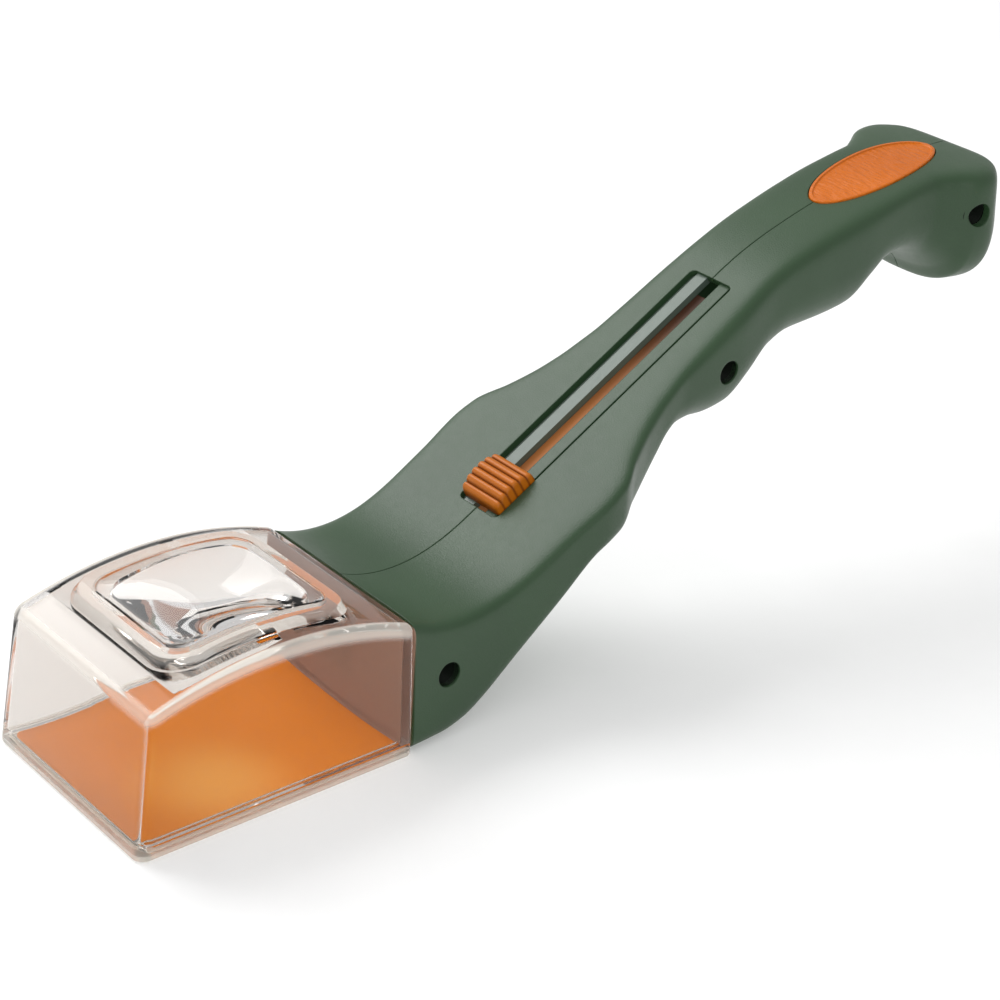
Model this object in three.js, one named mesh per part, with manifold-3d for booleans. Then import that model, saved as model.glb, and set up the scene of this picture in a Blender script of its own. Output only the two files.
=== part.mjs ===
// Handheld bug catcher. A clear viewing head, open underneath, stands over the bug. A thin flexible
// trapdoor closes the head from below: a thumb slider on the handle pulls it back into the hollow
// handle on a curved track. A magnifier lens sits in the head's arched roof.
// Millimetres, +Z up. +X runs from the head to the tail of the handle, and Y = 0 is the plane where
// the two handle shells meet. The part stands on Z = 0 and is centred on its bounding box in X.
import * as THREE from 'three';
import { mergeVertices } from 'three/addons/utils/BufferGeometryUtils.js';
import Module from 'manifold-3d';

const wasm = await Module();
wasm.setup();

// Viewing head
const headLength = 77.4;
const headWidth = 62.4;
const headShoulder = 35.5; // height where the walls meet the roof at the ends
const headWall = 2.2;
const headRearWall = 2.5;
const frontLean = 3.8; // how far the front wall leans back over the shoulder height
const sideLean = 1.7; // the same for each side wall
const crownHeight = 42.4;
const archRadius = 111;
const archCentre = 38.1;
const roofEdgeRadius = 1.7;
const roofInnerRadius = 0.5;
const headFrontRadius = 3;
const headRearRadius = 2;
const footRadius = 0.7;

// Magnifier window in the roof
const lensLength = 43.4;
const lensWidth = 36.8;
const lensCorner = 5;
const lensEdge = 2.1;
const lensTopDome = 3;
const lensLowerDome = 5;
const lensSeat = 2.8; // ledge of roof left under the lens edge
const windowCentre = 39.4;
const windowRim = 5.2; // width of the frame round the lens at its foot
const windowRimDraft = 1.5; // how far its outer side leans in
const windowRimHeight = 2.4;
const windowRimCorner = 9;

// Trapdoor sheet and the grooves it runs in
const sheetThickness = 0.8;
const sheetClearance = 0.3;
const ledgeHeight = 1.3;
const ledgeWidth = 2.5;
const frontLedge = 3;
const grooveStop = 1.2; // web left between the front wall and the groove
const grooveHeight = 1.5;
const beadHeight = 0.8;
const beadWidth = 1.5;
const panelFront = 4.2; // front edge of the closed trapdoor
const panelSideGap = 1.2;
const panelOpenGap = 0.6; // front edge past the rear wall when open
const panelCorner = 2.4;
const tongueFrom = 1.4; // where the sheet starts to narrow, along its path in the handle
const tongueHalfWidth = 4.2;
const pathStart = 0.8; // where the sheet starts to climb, behind the handle's front
const tongueTaper = 15;

// Handle shells
const shellWall = 2.2;
const seamGap = 0.3;
const headJoint = 0.3;
const handleStepIn = 0.3; // the handle's mouth is this much smaller than the head
const trackAngle = THREE.MathUtils.degToRad(30.68);
const slotStart = 42.1; // along X from the handle's front to the slot
const slotHeight = 41.2; // top surface at that point
const slotHalfWidth = 7.4;
const slotCorner = 1.6;
const tailLength = 95.8; // from the end of the slot's straight line to the end of the handle
const railInner = 2.4;
const railOuter = 6;
const railDepth = 1;
const shelfDepth = 2;
const shelfThickness = 1;
const bulkheadWall = 2.2;

// Thumb slider
const sliderLength = 13.6;
const sliderFrontGap = 1.3;
const sliderRearGap = 0.3;
const slideClearance = 0.3;
const sliderDome = 4.3;
const sliderEndHeight = 1.7;
const ribCount = 6;
const ribDepth = 0.75;
const stemLength = 8;
const clampThickness = 1;
const clampLength = 10;

// Fastenings
const screwRadius = 1.5;
const screwHeadRadius = 2.8;
const screwHeadHeight = 1.8;
const screwLength = 15;
const screwClearance = 0.3;
const clampScrewRadius = 0.9;
const clampScrewHead = 0.8;
const counterboreRadius = 3.3;
const bossWall = 1.2;
const lugNeck = { halfWidth: 6, low: 9.5, high: 27 };
const lugLip = 2.6;
const lugThickness = 2;

// Oval badge let into the top of the tail
const badgeHalfLength = 22.3;
const badgeHalfWidth = 9.75;
const badgeCentre = 56.4; // from the end of the slot line
const badgeThickness = 1.2;
const badgeProud = 0.35;
const badgeRim = 1;
const badgeRecess = 0.35;
const badgeGap = 0.3;

// Values that follow from the sizes above
const panelHalfWidth = headWidth / 2 - headWall - panelSideGap;
const doorTravel = headLength + panelOpenGap - panelFront;
const slotLength = doorTravel + sliderLength + sliderFrontGap + sliderRearGap;
const trackSlope = Math.tan(trackAngle);
const handleFront = headLength + headJoint;
const lineTail = slotStart + slotLength * Math.cos(trackAngle) + 2;
const lineTailHeight = slotHeight + (lineTail - slotStart) * trackSlope;
const handleLength = lineTail + tailLength;
const sheetBottom = ledgeHeight + sheetClearance;
const sheetMiddle = sheetBottom + sheetThickness / 2;
const clampBoreRadius = clampScrewRadius + screwClearance;
const tongueDepth = shelfDepth + shelfThickness + sheetClearance + sheetThickness / 2;

const green = new THREE.MeshStandardMaterial({ color: 0x51685a, roughness: 0.5, metalness: 0 });
const orange = new THREE.MeshStandardMaterial({ color: 0xe07a1e, roughness: 0.42, metalness: 0 });
const clear = new THREE.MeshStandardMaterial({
  color: 0xeef0e8, roughness: 0.06, metalness: 0, transparent: true, opacity: 0.35,
});
const steel = new THREE.MeshStandardMaterial({ color: 0x55585a, roughness: 0.4, metalness: 0.9 });

// Turns a closed geometry into a solid that can be joined and cut.
function solidOf(geometry) {
  const bare = geometry.clone();
  bare.deleteAttribute('normal');
  bare.deleteAttribute('uv');
  const merged = mergeVertices(bare, 1e-4);
  const vertProperties = new Float32Array(merged.attributes.position.array);
  const triVerts = new Uint32Array(merged.index.array);
  return new wasm.Manifold(new wasm.Mesh({ numProp: 3, vertProperties, triVerts }));
}

function geometryOf(solid) {
  const mesh = solid.getMesh();
  const geometry = new THREE.BufferGeometry();
  geometry.setAttribute('position', new THREE.BufferAttribute(mesh.vertProperties, 3));
  geometry.setIndex(withoutSlivers(mesh.vertProperties, mesh.triVerts));
  return geometry;
}

// Cuts leave slivers: facets with a corner almost on the opposite edge. The edge is swapped for the
// other diagonal of the two facets that share it, or, if a side is very short, its ends are joined.
function withoutSlivers(points, triangles) {
  const thin = 0.006;
  const corner = (k) => new THREE.Vector3().fromArray(points, 3 * k);
  const gap = (p, q) => corner(p).distanceTo(corner(q));
  let faces = [];
  for (let k = 0; k < triangles.length; k += 3) faces.push([...triangles.subarray(k, k + 3)]);
  const around = (k) => new Set(faces.filter((face) => face.includes(k)).flat());
  for (let sweep = 0; sweep < 8; sweep++) {
    for (let k = 0; k < faces.length; k++) {
      let [a, b, c] = faces[k];
      if (a === b || b === c || c === a) continue;
      const sides = [gap(a, b), gap(b, c), gap(c, a)];
      const area = new THREE.Triangle(corner(a), corner(b), corner(c)).getArea();
      if (2 * area > thin * Math.max(...sides)) continue;
      while (gap(a, b) < Math.max(...sides)) [a, b, c] = [b, c, a];
      const [keep, drop] = gap(b, c) < gap(c, a) ? [b, c] : [a, c];
      const kept = around(keep);
      const shared = [...around(drop)].filter((q) => kept.has(q)).length;
      if (gap(keep, drop) < 4 * thin && shared === 4) {
        faces = faces.map((face) => face.map((q) => (q === drop ? keep : q)));
        continue;
      }
      const other = faces.findIndex((face) => [0, 1, 2].some(
        (q) => face[q] === b && face[(q + 1) % 3] === a,
      ));
      if (other < 0) continue;
      const d = faces[other].find((q) => q !== a && q !== b);
      if (around(c).has(d)) continue;
      faces[k] = [a, d, c];
      faces[other] = [d, b, c];
    }
    faces = faces.filter(([a, b, c]) => a !== b && b !== c && c !== a);
  }
  return faces.flat();
}

// A ring of a skin is half an outline, from one point on the middle plane to the other, with y <= 0.
// This adds the mirrored half, so point i and point count - i are mirror images.
function mirrored(half) {
  const other = half.slice(1, -1).reverse().map(([x, y, z]) => [x, -y, z]);
  return [...half, ...other];
}

// A closed skin through mirrored rings. Each end is closed by a strip between mirror images.
function skin(halves) {
  const rings = halves.map(mirrored);
  const count = rings[0].length;
  const last = (rings.length - 1) * count;
  const faces = [];
  for (let r = 0; r + 1 < rings.length; r++) {
    for (let i = 0; i < count; i++) {
      const a = r * count + i;
      const b = r * count + ((i + 1) % count);
      faces.push(a, b, b + count, a, b + count, a + count);
    }
  }
  for (let i = 0; i < count / 2; i++) {
    const twin = (count - i) % count;
    const quad = [i, twin, count - i - 1, i + 1];
    for (const [p, q, s] of [[quad[0], quad[1], quad[2]], [quad[0], quad[2], quad[3]]]) {
      if (new Set([p, q, s]).size < 3) continue;
      faces.push(p, q, s);
      faces.push(last + s, last + q, last + p);
    }
  }
  const points = rings.flat(2);
  return solidOf(outward(points, faces));
}

// Turns every face over if the skin's volume comes out negative.
function outward(points, faces) {
  let volume = 0;
  const corner = (k) => new THREE.Vector3().fromArray(points, 3 * faces[k]);
  for (let k = 0; k < faces.length; k += 3) {
    volume += corner(k).dot(corner(k + 1).cross(corner(k + 2)));
  }
  if (volume < 0) faces.reverse();
  const geometry = new THREE.BufferGeometry();
  geometry.setAttribute('position', new THREE.Float32BufferAttribute(points, 3));
  geometry.setIndex(faces);
  return geometry;
}

// Half of a rounded rectangle on the ground plan, from its front middle round one side to its rear.
function halfPlan(x0, x1, halfWidth, frontRadius, rearRadius, sideSteps = 12, arcSteps = 4) {
  const plan = [[x0, 0]];
  for (let k = 0; k <= arcSteps; k++) {
    const turn = (k / arcSteps) * Math.PI / 2;
    const x = x0 + frontRadius * (1 - Math.cos(turn));
    plan.push([x, -(halfWidth - frontRadius * (1 - Math.sin(turn)))]);
  }
  const from = x0 + frontRadius;
  const to = x1 - rearRadius;
  for (let k = 1; k < sideSteps; k++) plan.push([from + (to - from) * k / sideSteps, -halfWidth]);
  for (let k = 0; k <= arcSteps; k++) {
    const turn = (k / arcSteps) * Math.PI / 2;
    plan.push([to + rearRadius * Math.sin(turn), -(halfWidth - rearRadius * (1 - Math.cos(turn)))]);
  }
  plan.push([x1, 0]);
  return plan;
}

// The roof is part of a cylinder that lies across the head.
function roofHeight(x) {
  return crownHeight - archRadius + Math.sqrt(archRadius ** 2 - (x - archCentre) ** 2);
}

// Walls lean inwards with height: a draft that is applied to upright shapes.
function drafted([x, y, z]) {
  const share = z / headShoulder;
  return [
    x + frontLean * share * (1 - x / headLength),
    y * (1 - sideLean / (headWidth / 2) * share),
    z,
  ];
}

// A rounded block on the head's plan, inset from its outside, between two heights or up to the roof.
function headBlock({ inset, low, high, front = inset, rear = inset, dome = 0, edge = 0 }) {
  const plan = (more) => halfPlan(
    front + more, headLength - rear - more, headWidth / 2 - inset - more,
    Math.max(headFrontRadius - inset - more, 0.8), Math.max(headRearRadius - rear - more, 0.6),
  );
  const level = (x) => (high === undefined ? roofHeight(x) - dome : high);
  const rings = [];
  if (edge > 0 && inset === 0) rings.push(plan(footRadius).map(([x, y]) => [x, y, low]));
  const start = edge > 0 && inset === 0 ? low + footRadius : low;
  rings.push(plan(0).map(([x, y]) => [x, y, start]));
  const steps = edge > 0 ? 4 : 0;
  for (let k = 0; k <= steps; k++) {
    const turn = steps ? (k / steps) * Math.PI / 2 : Math.PI / 2;
    const more = edge * (1 - Math.cos(turn));
    rings.push(plan(steps ? more : 0).map(([x, y]) => [x, y, level(x) - edge * (1 - Math.sin(turn))]));
  }
  return skin(rings.map((ring) => ring.map(drafted)));
}

// A block that follows the roof: a rounded rectangle round the window between two offsets from it.
function roofBlock(length, width, corner, levels) {
  return skin(levels.map(([offset, inset = 0]) => halfPlan(
    windowCentre - length / 2 + inset, windowCentre + length / 2 - inset, width / 2 - inset,
    corner - inset, corner - inset, 8, 4,
  ).map(([x, y]) => [x, y, roofHeight(x) + offset])));
}

function block(x0, x1, y0, y1, z0, z1) {
  const geometry = new THREE.BoxGeometry(x1 - x0, y1 - y0, z1 - z0);
  geometry.translate((x0 + x1) / 2, (y0 + y1) / 2, (z0 + z1) / 2);
  return solidOf(geometry);
}

// A rod along Y, given by its centre on the XZ plane and its two ends.
function rod(radius, x, z, y0, y1, sides = 24) {
  const geometry = new THREE.CylinderGeometry(radius, radius, y1 - y0, sides);
  geometry.translate(x, (y0 + y1) / 2, z);
  return solidOf(geometry);
}

function makeHead() {
  const grooveTop = ledgeHeight + grooveHeight;
  const inner = headWall;
  let head = headBlock({ inset: 0, low: 0, edge: roofEdgeRadius });
  // The mouth, the groove the trapdoor runs in, the opening between the beads above it, the chamber
  head = head.subtract(headBlock({
    inset: inner + ledgeWidth, front: inner + frontLedge, rear: headRearWall, low: -1, high: ledgeHeight + 0.1,
  }));
  head = head.subtract(headBlock({
    inset: inner, front: inner + grooveStop, rear: -2, low: ledgeHeight, high: grooveTop,
  }));
  head = head.subtract(headBlock({
    inset: inner + beadWidth, front: inner, rear: headRearWall, low: ledgeHeight, high: grooveTop + 2,
  }));
  head = head.subtract(headBlock({
    inset: inner, rear: headRearWall, low: grooveTop + beadHeight, dome: headWall,
    edge: roofInnerRadius,
  }));
  // The raised rim round the lens, its seat and the window below it
  head = head.add(roofBlock(
    lensLength + 2 * windowRim, lensWidth + 2 * windowRim, windowRimCorner,
    [[-1.2], [0.4], [windowRimHeight - 0.5, windowRimDraft], [windowRimHeight, windowRimDraft + 0.5]],
  ));
  const loose = 2 * sheetClearance;
  head = head.subtract(roofBlock(
    lensLength + loose, lensWidth + loose, lensCorner, [[0], [windowRimHeight + 2]],
  ));
  head = head.subtract(roofBlock(
    lensLength - 2 * lensSeat, lensWidth - 2 * lensSeat, lensCorner, [[-headWall - 3], [2]],
  ));
  // A T-shaped lug behind the rear wall, which the two handle shells close round
  const neckEnd = handleFront + bulkheadWall + slideClearance;
  head = head.add(block(
    headLength - 1, neckEnd + 0.1, -lugNeck.halfWidth, lugNeck.halfWidth, lugNeck.low, lugNeck.high,
  ));
  head = head.add(block(
    neckEnd, neckEnd + lugThickness, -lugNeck.halfWidth - lugLip, lugNeck.halfWidth + lugLip,
    lugNeck.low - lugLip, lugNeck.high + lugLip,
  ));
  return geometryOf(head);
}

// A biconvex lens of rounded square outline whose edge follows the roof.
function makeLens() {
  const ringOf = (scale, inset, height) => halfPlan(
    windowCentre - (lensLength / 2 - inset) * scale, windowCentre + (lensLength / 2 - inset) * scale,
    (lensWidth / 2 - inset) * scale, lensCorner * scale, lensCorner * scale, 8, 4,
  ).map(([x, y]) => [x, y, roofHeight(x) + height(scale)]);
  const seat = sheetClearance;
  const top = lensEdge + seat;
  const lower = lensSeat + sheetClearance;
  const underside = (scale) => -headWall + 0.6 - lensLowerDome * (1 - scale ** 2);
  const upper = (scale) => top + lensTopDome * (1 - scale ** 2);
  const rings = [0.12, 0.4, 0.65, 0.85, 1].map((scale) => ringOf(scale, lower, underside));
  rings.push(ringOf(1, lower, () => seat));
  rings.push(ringOf(1, 0, () => seat));
  rings.push(ringOf(1, 0, () => top - 0.3));
  for (const scale of [0.985, 0.85, 0.65, 0.4, 0.12]) rings.push(ringOf(scale, 0, upper));
  return geometryOf(skin(rings));
}

// A fair curve through knots [x, value]: cubic pieces whose slopes never overshoot the knots.
function fair(knots) {
  const step = (k) => (knots[k + 1][1] - knots[k][1]) / (knots[k + 1][0] - knots[k][0]);
  const slopes = knots.map((knot, k) => {
    if (k === 0) return step(0);
    if (k === knots.length - 1) return step(k - 1);
    const before = step(k - 1);
    const after = step(k);
    return before * after <= 0 ? 0 : 2 * before * after / (before + after);
  });
  return hermite(knots.map(([x, value], k) => [x, value, slopes[k]]));
}

// A fair curve through knots [x, value, slope].
function hermite(knots) {
  return (x) => {
    let k = 0;
    while (k < knots.length - 2 && x > knots[k + 1][0]) k++;
    const [x0, v0, m0] = knots[k];
    const [x1, v1, m1] = knots[k + 1];
    const span = x1 - x0;
    const t = THREE.MathUtils.clamp((x - x0) / span, 0, 1);
    const s = 1 - t;
    return s * s * (1 + 2 * t) * v0 + s * s * t * span * m0
      + t * t * (1 + 2 * s) * v1 - t * t * s * span * m1;
  };
}

// The handle's form, in its own frame: x = 0 at its front. The middle part of the top is the
// straight line that the slot is cut in, and everything behind it is placed from the line's end.
const line = (x) => slotHeight + (x - slotStart) * trackSlope;
const behind = (x, rise) => [lineTail + x, lineTailHeight + rise];
const topOf = hermite([
  [0, headShoulder - handleStepIn, -0.42],
  [slotStart - 3, line(slotStart - 3), trackSlope],
  [lineTail, lineTailHeight, trackSlope],
  [...behind(18.7, 8.4), 0.34],
  [...behind(56.7, 18.4), 0.2],
  [...behind(84, 21.1), 0],
  [...behind(91, 18), -0.9],
  [...behind(tailLength, 9.5), -3],
]);
const bottomOf = fair([
  [0, 0.3], [10, 0.3], [16.5, 1.5], [23, 5], [33.3, 13.1], [47.3, 24.5], [57.5, 33.9],
  behind(-52.5, -50.8), behind(-44.5, -48.1), behind(-36.5, -41.6), behind(-31.5, -36),
  behind(-27.5, -33.8), behind(-21.5, -33.4), behind(-13.5, -34.3), behind(-7.5, -33.8),
  behind(-0.5, -28.9), behind(6.5, -21.7), behind(15, -18), behind(28.5, -16.8),
  behind(36.5, -15.4), behind(42.5, -10.1), behind(48.5, -4.9), behind(56.5, -3.1),
  behind(64.5, -5.7), behind(71, -10.6), behind(74.5, -14.8), behind(79.5, -14.9),
  behind(84.5, -12.4), behind(89, -8.5), behind(92.5, -4.2), behind(tailLength, 3),
]);
const shoulder = headWidth / 2;
const halfWidthOf = fair([
  [0, shoulder - handleStepIn], [15.3, shoulder - 0.6], [29.3, shoulder - 0.9],
  [47.3, shoulder - 0.9], [58.3, shoulder - 0.4], [64.3, shoulder - 1.2],
  [lineTail - 48.5, 25.3], [lineTail - 40.5, 21.5], [lineTail - 32.5, 19], [lineTail - 24.5, 17.7],
  [lineTail - 7.5, 17.3], [lineTail + 7.5, 16.2], [lineTail + 23.5, 16.9], [lineTail + 40.5, 17.6],
  [lineTail + 54.5, 17.4], [lineTail + 62.5, 17.6], [lineTail + 68.5, 20.5], [lineTail + 74.5, 24.3],
  [lineTail + 80, 25.6], [lineTail + 84.5, 23.8], [lineTail + 89, 19.6], [lineTail + 92.5, 13.5],
  [handleLength, 3.5],
]);
// How square the section is above and below its widest height: 2 is an ellipse, 14 nearly a box
const topPowerOf = fair([
  [0, 14], [24, 14], [48, 13], [64, 12], [84, 10], [lineTail - 10, 8.5], [lineTail + 45, 8],
  [lineTail + 66, 8], [lineTail + 80, 9], [handleLength, 4],
]);
const bottomPowerOf = fair([
  [0, 14], [18, 8], [33, 5.5], [54, 4], [73, 3], [94, 2.6], [lineTail + 60, 2.5],
  [lineTail + 76, 2.6], [handleLength, 2.4],
]);
const leanOf = fair([
  [0, sideLean / shoulder], [50, 0.01], [70, 0], [lineTail + 72, 0.02], [lineTail + 84.5, 0.15],
  [lineTail + 89, 0.3], [handleLength, 0.5],
]);

function slopeOf(curve, x) {
  return (curve(x + 0.5) - curve(x - 0.5));
}

// Half a cross-section of the handle at x, shrunk by the given wall, from its top to its bottom.
function section(x, wall, steps) {
  const thick = (curve) => wall * Math.min(Math.hypot(1, slopeOf(curve, x)), 2);
  const top = topOf(x) - thick(topOf);
  const bottom = bottomOf(x) + thick(bottomOf);
  const halfWidth = halfWidthOf(x) - thick(halfWidthOf);
  const middle = top - 0.45 * (top - bottom);
  const half = [];
  for (let k = 0; k <= steps; k++) {
    const turn = (k / steps) * Math.PI;
    const above = turn <= Math.PI / 2;
    const power = 2 / (above ? topPowerOf(x) : bottomPowerOf(x));
    const reach = above ? top - middle : middle - bottom;
    const up = Math.sign(Math.cos(turn)) * Math.abs(Math.cos(turn)) ** power;
    const z = Math.abs(Math.cos(turn)) < 1e-9 ? middle : middle + reach * up;
    const lean = 1 - leanOf(x) * (z - bottom) / (top - bottom);
    const y = k === 0 || k === steps ? 0 : -halfWidth * lean * Math.sin(turn) ** power;
    half.push([x, y, z]);
  }
  return half;
}

// The handle's outside, or its hollow when a wall is given, as a solid through its sections.
function handleForm(wall, steps, pitch) {
  const from = wall > 0.5 ? bulkheadWall : 0;
  const to = wall > 0.5 ? handleLength - 2.6 * wall : handleLength - Math.max(wall, 0) * 1.2;
  const fineFrom = Math.min(lineTail + 62, to - 8);
  const stations = [];
  const coarse = Math.round((fineFrom - from) / pitch);
  for (let k = 0; k < coarse; k++) stations.push(from + (fineFrom - from) * k / coarse);
  const fine = Math.round((to - fineFrom) / (pitch * 0.5));
  for (let k = 0; k <= fine; k++) {
    const share = k / fine;
    stations.push(fineFrom + (to - fineFrom) * share * (1.3 - 0.3 * share));
  }
  return skin(stations.map((x) => section(x, wall, steps)));
}

// The track frame: its origin is on the top line at the slot's front end, its first axis runs up the
// slope and its third stands off the surface.
const trackFrame = new THREE.Matrix4()
  .makeRotationY(-trackAngle)
  .setPosition(slotStart, 0, slotHeight);

function onTrack(solid) {
  const geometry = geometryOf(solid);
  geometry.applyMatrix4(trackFrame);
  return solidOf(geometry);
}

function roundedPrism(u0, u1, halfWidth, corner, n0, n1) {
  const flat = halfPlan(u0, u1, halfWidth, corner, corner, 1, 4);
  return skin([n0, n1].map((n) => flat.map(([x, y]) => [x, y, n])));
}

// The line that the sheet follows inside the handle: out of the head along the floor, up on one arc,
// back on another of the same radius, and then along under the track.
function makeSheetPath() {
  const start = new THREE.Vector2(pathStart, sheetMiddle);
  const meet = new THREE.Vector2(slotStart + 2.2, 0);
  meet.y = line(meet.x) - tongueDepth / Math.cos(trackAngle);
  const ratio = (meet.x - start.x) / (meet.y - start.y);
  const wanted = ratio * (1 + Math.cos(trackAngle)) + Math.sin(trackAngle);
  const steepest = Math.PI - Math.asin(wanted / (2 * Math.hypot(1, ratio))) - Math.atan(ratio);
  const radius = (meet.x - start.x) / (2 * Math.sin(steepest) - Math.sin(trackAngle));
  const rise = radius * steepest;
  const fall = radius * (steepest - trackAngle);
  const slack = 0.025; // the tail of the tongue hangs this much below the track, per millimetre
  const at = (s) => {
    if (s <= 0) return { x: start.x + s, z: start.y, angle: 0 };
    if (s <= rise) {
      const turn = s / radius;
      return {
        x: start.x + radius * Math.sin(turn),
        z: start.y + radius * (1 - Math.cos(turn)),
        angle: turn,
      };
    }
    if (s <= rise + fall) {
      const turn = steepest - (s - rise) / radius;
      return {
        x: start.x + radius * (2 * Math.sin(steepest) - Math.sin(turn)),
        z: start.y + radius * (1 - 2 * Math.cos(steepest) + Math.cos(turn)),
        angle: turn,
      };
    }
    const along = s - rise - fall;
    const drop = Math.max(along - sliderLength, 0) * slack;
    return {
      x: meet.x + along * Math.cos(trackAngle) + drop * Math.sin(trackAngle),
      z: meet.y + along * Math.sin(trackAngle) - drop * Math.cos(trackAngle),
      angle: trackAngle - (drop > 0 ? Math.atan(slack) : 0),
    };
  };
  const tail = (lineTail - 4 - meet.x) / Math.cos(trackAngle);
  return { at, onTrackFrom: rise + fall, end: rise + fall + tail };
}
const sheetPath = makeSheetPath();

function evenly(from, to, steps) {
  return Array.from({ length: steps + 1 }, (_, k) => from + (to - from) * k / steps);
}

// A band that follows the sheet's path through the given stations along it, between two distances
// off it and with a half width that depends on the station.
function bandAlongPath(stations, low, high, halfWidth) {
  const rings = [];
  for (const s of stations) {
    const { x, z, angle } = sheetPath.at(s);
    const off = (d) => [x - d * Math.sin(angle), z + d * Math.cos(angle)];
    const [topX, topZ] = off(high);
    const [lowX, lowZ] = off(low);
    const w = halfWidth(s);
    rings.push([[topX, 0, topZ], [topX, -w, topZ], [lowX, -w, lowZ], [lowX, 0, lowZ]]);
  }
  return skin(rings);
}

const sliderStart = sliderFrontGap;
const sliderMiddle = sliderStart + sliderLength / 2;
const screwSites = [
  { name: 'handle_screw_front', x: 10.7, z: 18.2, bore: 12 },
  { name: 'handle_screw_middle', x: lineTail - 10.3, z: lineTailHeight - 19.5, bore: 7 },
  { name: 'handle_screw_rear', x: lineTail + 75.2, z: lineTailHeight + 9, bore: 9 },
];

// Where a screw's head sits: a fixed depth below the shell's outer side at that place.
function seatOf({ x, z, bore }) {
  const half = section(x, 0, 24);
  const near = half.reduce((a, b) => (Math.abs(b[2] - z) < Math.abs(a[2] - z) ? b : a));
  return near[1] + bore;
}

// One handle shell: side is 1 for the far (left) shell and -1 for the near (right) one. Everything
// that stands inside it ends within the wall, at the core form.
function makeShell({ outside, core, hollow }, side) {
  const reach = 3 * headWidth;
  const keep = side > 0
    ? block(-20, handleLength + 20, seamGap / 2, reach, -50, 300)
    : block(-20, handleLength + 20, -reach, -seamGap / 2, -50, 300);
  const inside = core.intersect(keep);
  let shell = outside.intersect(keep).subtract(hollow);
  // Openings in the front bulkhead: a slot for the sheet, a window for the head's lug
  const floor = ledgeHeight;
  const channel = panelHalfWidth + 0.5;
  shell = shell.subtract(block(-1, bulkheadWall + 12, -channel, channel, floor, floor + grooveHeight));
  const { halfWidth, low, high } = lugNeck;
  const loose = slideClearance;
  shell = shell.subtract(block(
    -1, bulkheadWall + 0.1, -halfWidth - loose, halfWidth + loose, low - loose, high + loose,
  ));
  // The thumb slot, and below it the shelf with the raised rail that the slider rides on
  shell = shell.subtract(onTrack(roundedPrism(
    0, slotLength, slotHalfWidth, slotCorner, -shelfDepth - shelfThickness / 2, 8,
  )));
  const between = (inner, outer) => (side > 0 ? [inner, outer] : [-outer, -inner]);
  const shelf = block(
    -3, slotLength + 3, ...between(railInner, reach), -shelfDepth - shelfThickness, -shelfDepth,
  );
  const rail = block(
    -2, slotLength + 2, ...between(railInner, railOuter), -shelfDepth - 0.1, -railDepth,
  );
  shell = shell.add(onTrack(shelf.add(rail)).intersect(inside));
  // Two ribs on the side wall make a groove that the panel's edge runs in
  const grip = panelHalfWidth - 1;
  const ribFrom = 16;
  const ribTo = sheetPath.onTrackFrom + 6;
  for (const [below, above] of [[-2.2, -1], [1, 2.2]]) {
    const rib = bandAlongPath(evenly(ribFrom, ribTo, 14), below, above, () => reach)
      .subtract(bandAlongPath(evenly(ribFrom - 3, ribTo + 3, 16), -4, 4, () => grip));
    shell = shell.add(rib.intersect(inside));
  }
  // Screw bosses: the near shell holds the heads in counterbores, the far one takes the threads
  for (const site of screwSites) {
    const seat = seatOf(site);
    const around = counterboreRadius + bossWall;
    const core = screwRadius + screwClearance;
    if (side < 0) {
      shell = shell.add(rod(around, site.x, site.z, -reach, -seamGap / 2).intersect(inside));
      shell = shell.subtract(rod(core, site.x, site.z, -reach, 1));
      shell = shell.subtract(rod(counterboreRadius, site.x, site.z, -reach, seat));
    } else {
      const boss = rod(core + bossWall + 0.4, site.x, site.z, seamGap / 2, reach).intersect(inside);
      const end = seat + screwClearance + screwLength + 1;
      shell = shell.add(boss).subtract(rod(core, site.x, site.z, -1, end));
    }
  }
  return shell;
}

// The height of the handle's top at a place off the middle plane.
function topSurface(x, y) {
  const reach = 0.45 * (topOf(x) - bottomOf(x));
  const power = topPowerOf(x);
  const share = Math.min(Math.abs(y) / halfWidthOf(x), 0.98);
  return topOf(x) - reach * (1 - (1 - share ** power) ** (1 / power));
}

// A stack of ovals that follow the top of the tail: each is a scale, an inset and a height over it.
function ovalStack(halfLength, halfWidth, levels) {
  return skin(levels.map(([scale, inset, height]) => evenly(0, Math.PI, 26).map((turn) => {
    const x = lineTail + badgeCentre - (halfLength - inset) * scale * Math.cos(turn);
    const y = -(halfWidth - inset) * scale * Math.sin(turn);
    return [x, Math.abs(y) < 1e-9 ? 0 : y, topSurface(x, y) + height];
  })));
}

// The recess has room for the badge all round and below.
function badgePocket() {
  const depth = badgeThickness - badgeProud + badgeGap;
  return ovalStack(badgeHalfLength + badgeGap, badgeHalfWidth + badgeGap, [
    [0.4, 0, -depth], [1, 0, -depth], [1, 0, 3], [0.4, 0, 3],
  ]);
}

function makeBadge() {
  const under = badgeProud - badgeThickness;
  const face = badgeProud - badgeRecess;
  return geometryOf(ovalStack(badgeHalfLength, badgeHalfWidth, [
    [0.1, 0, under], [0.6, 0, under], [1, 0, under], [1, 0, badgeProud - 0.2],
    [1, 0.2, badgeProud], [1, badgeRim, badgeProud], [1, badgeRim + 0.2, face],
    [0.6, badgeRim, face], [0.1, badgeRim, face],
  ]));
}

function makeScrew() {
  const profile = [
    [0, 0], [screwHeadRadius * 0.8, 0], [screwHeadRadius, 0.5], [screwHeadRadius, screwHeadHeight],
    [screwRadius, screwHeadHeight], [screwRadius, screwHeadHeight + screwLength - 2],
    [0, screwHeadHeight + screwLength],
  ].map(([r, h]) => new THREE.Vector2(r, h));
  return new THREE.LatheGeometry(profile, 16);
}

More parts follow.
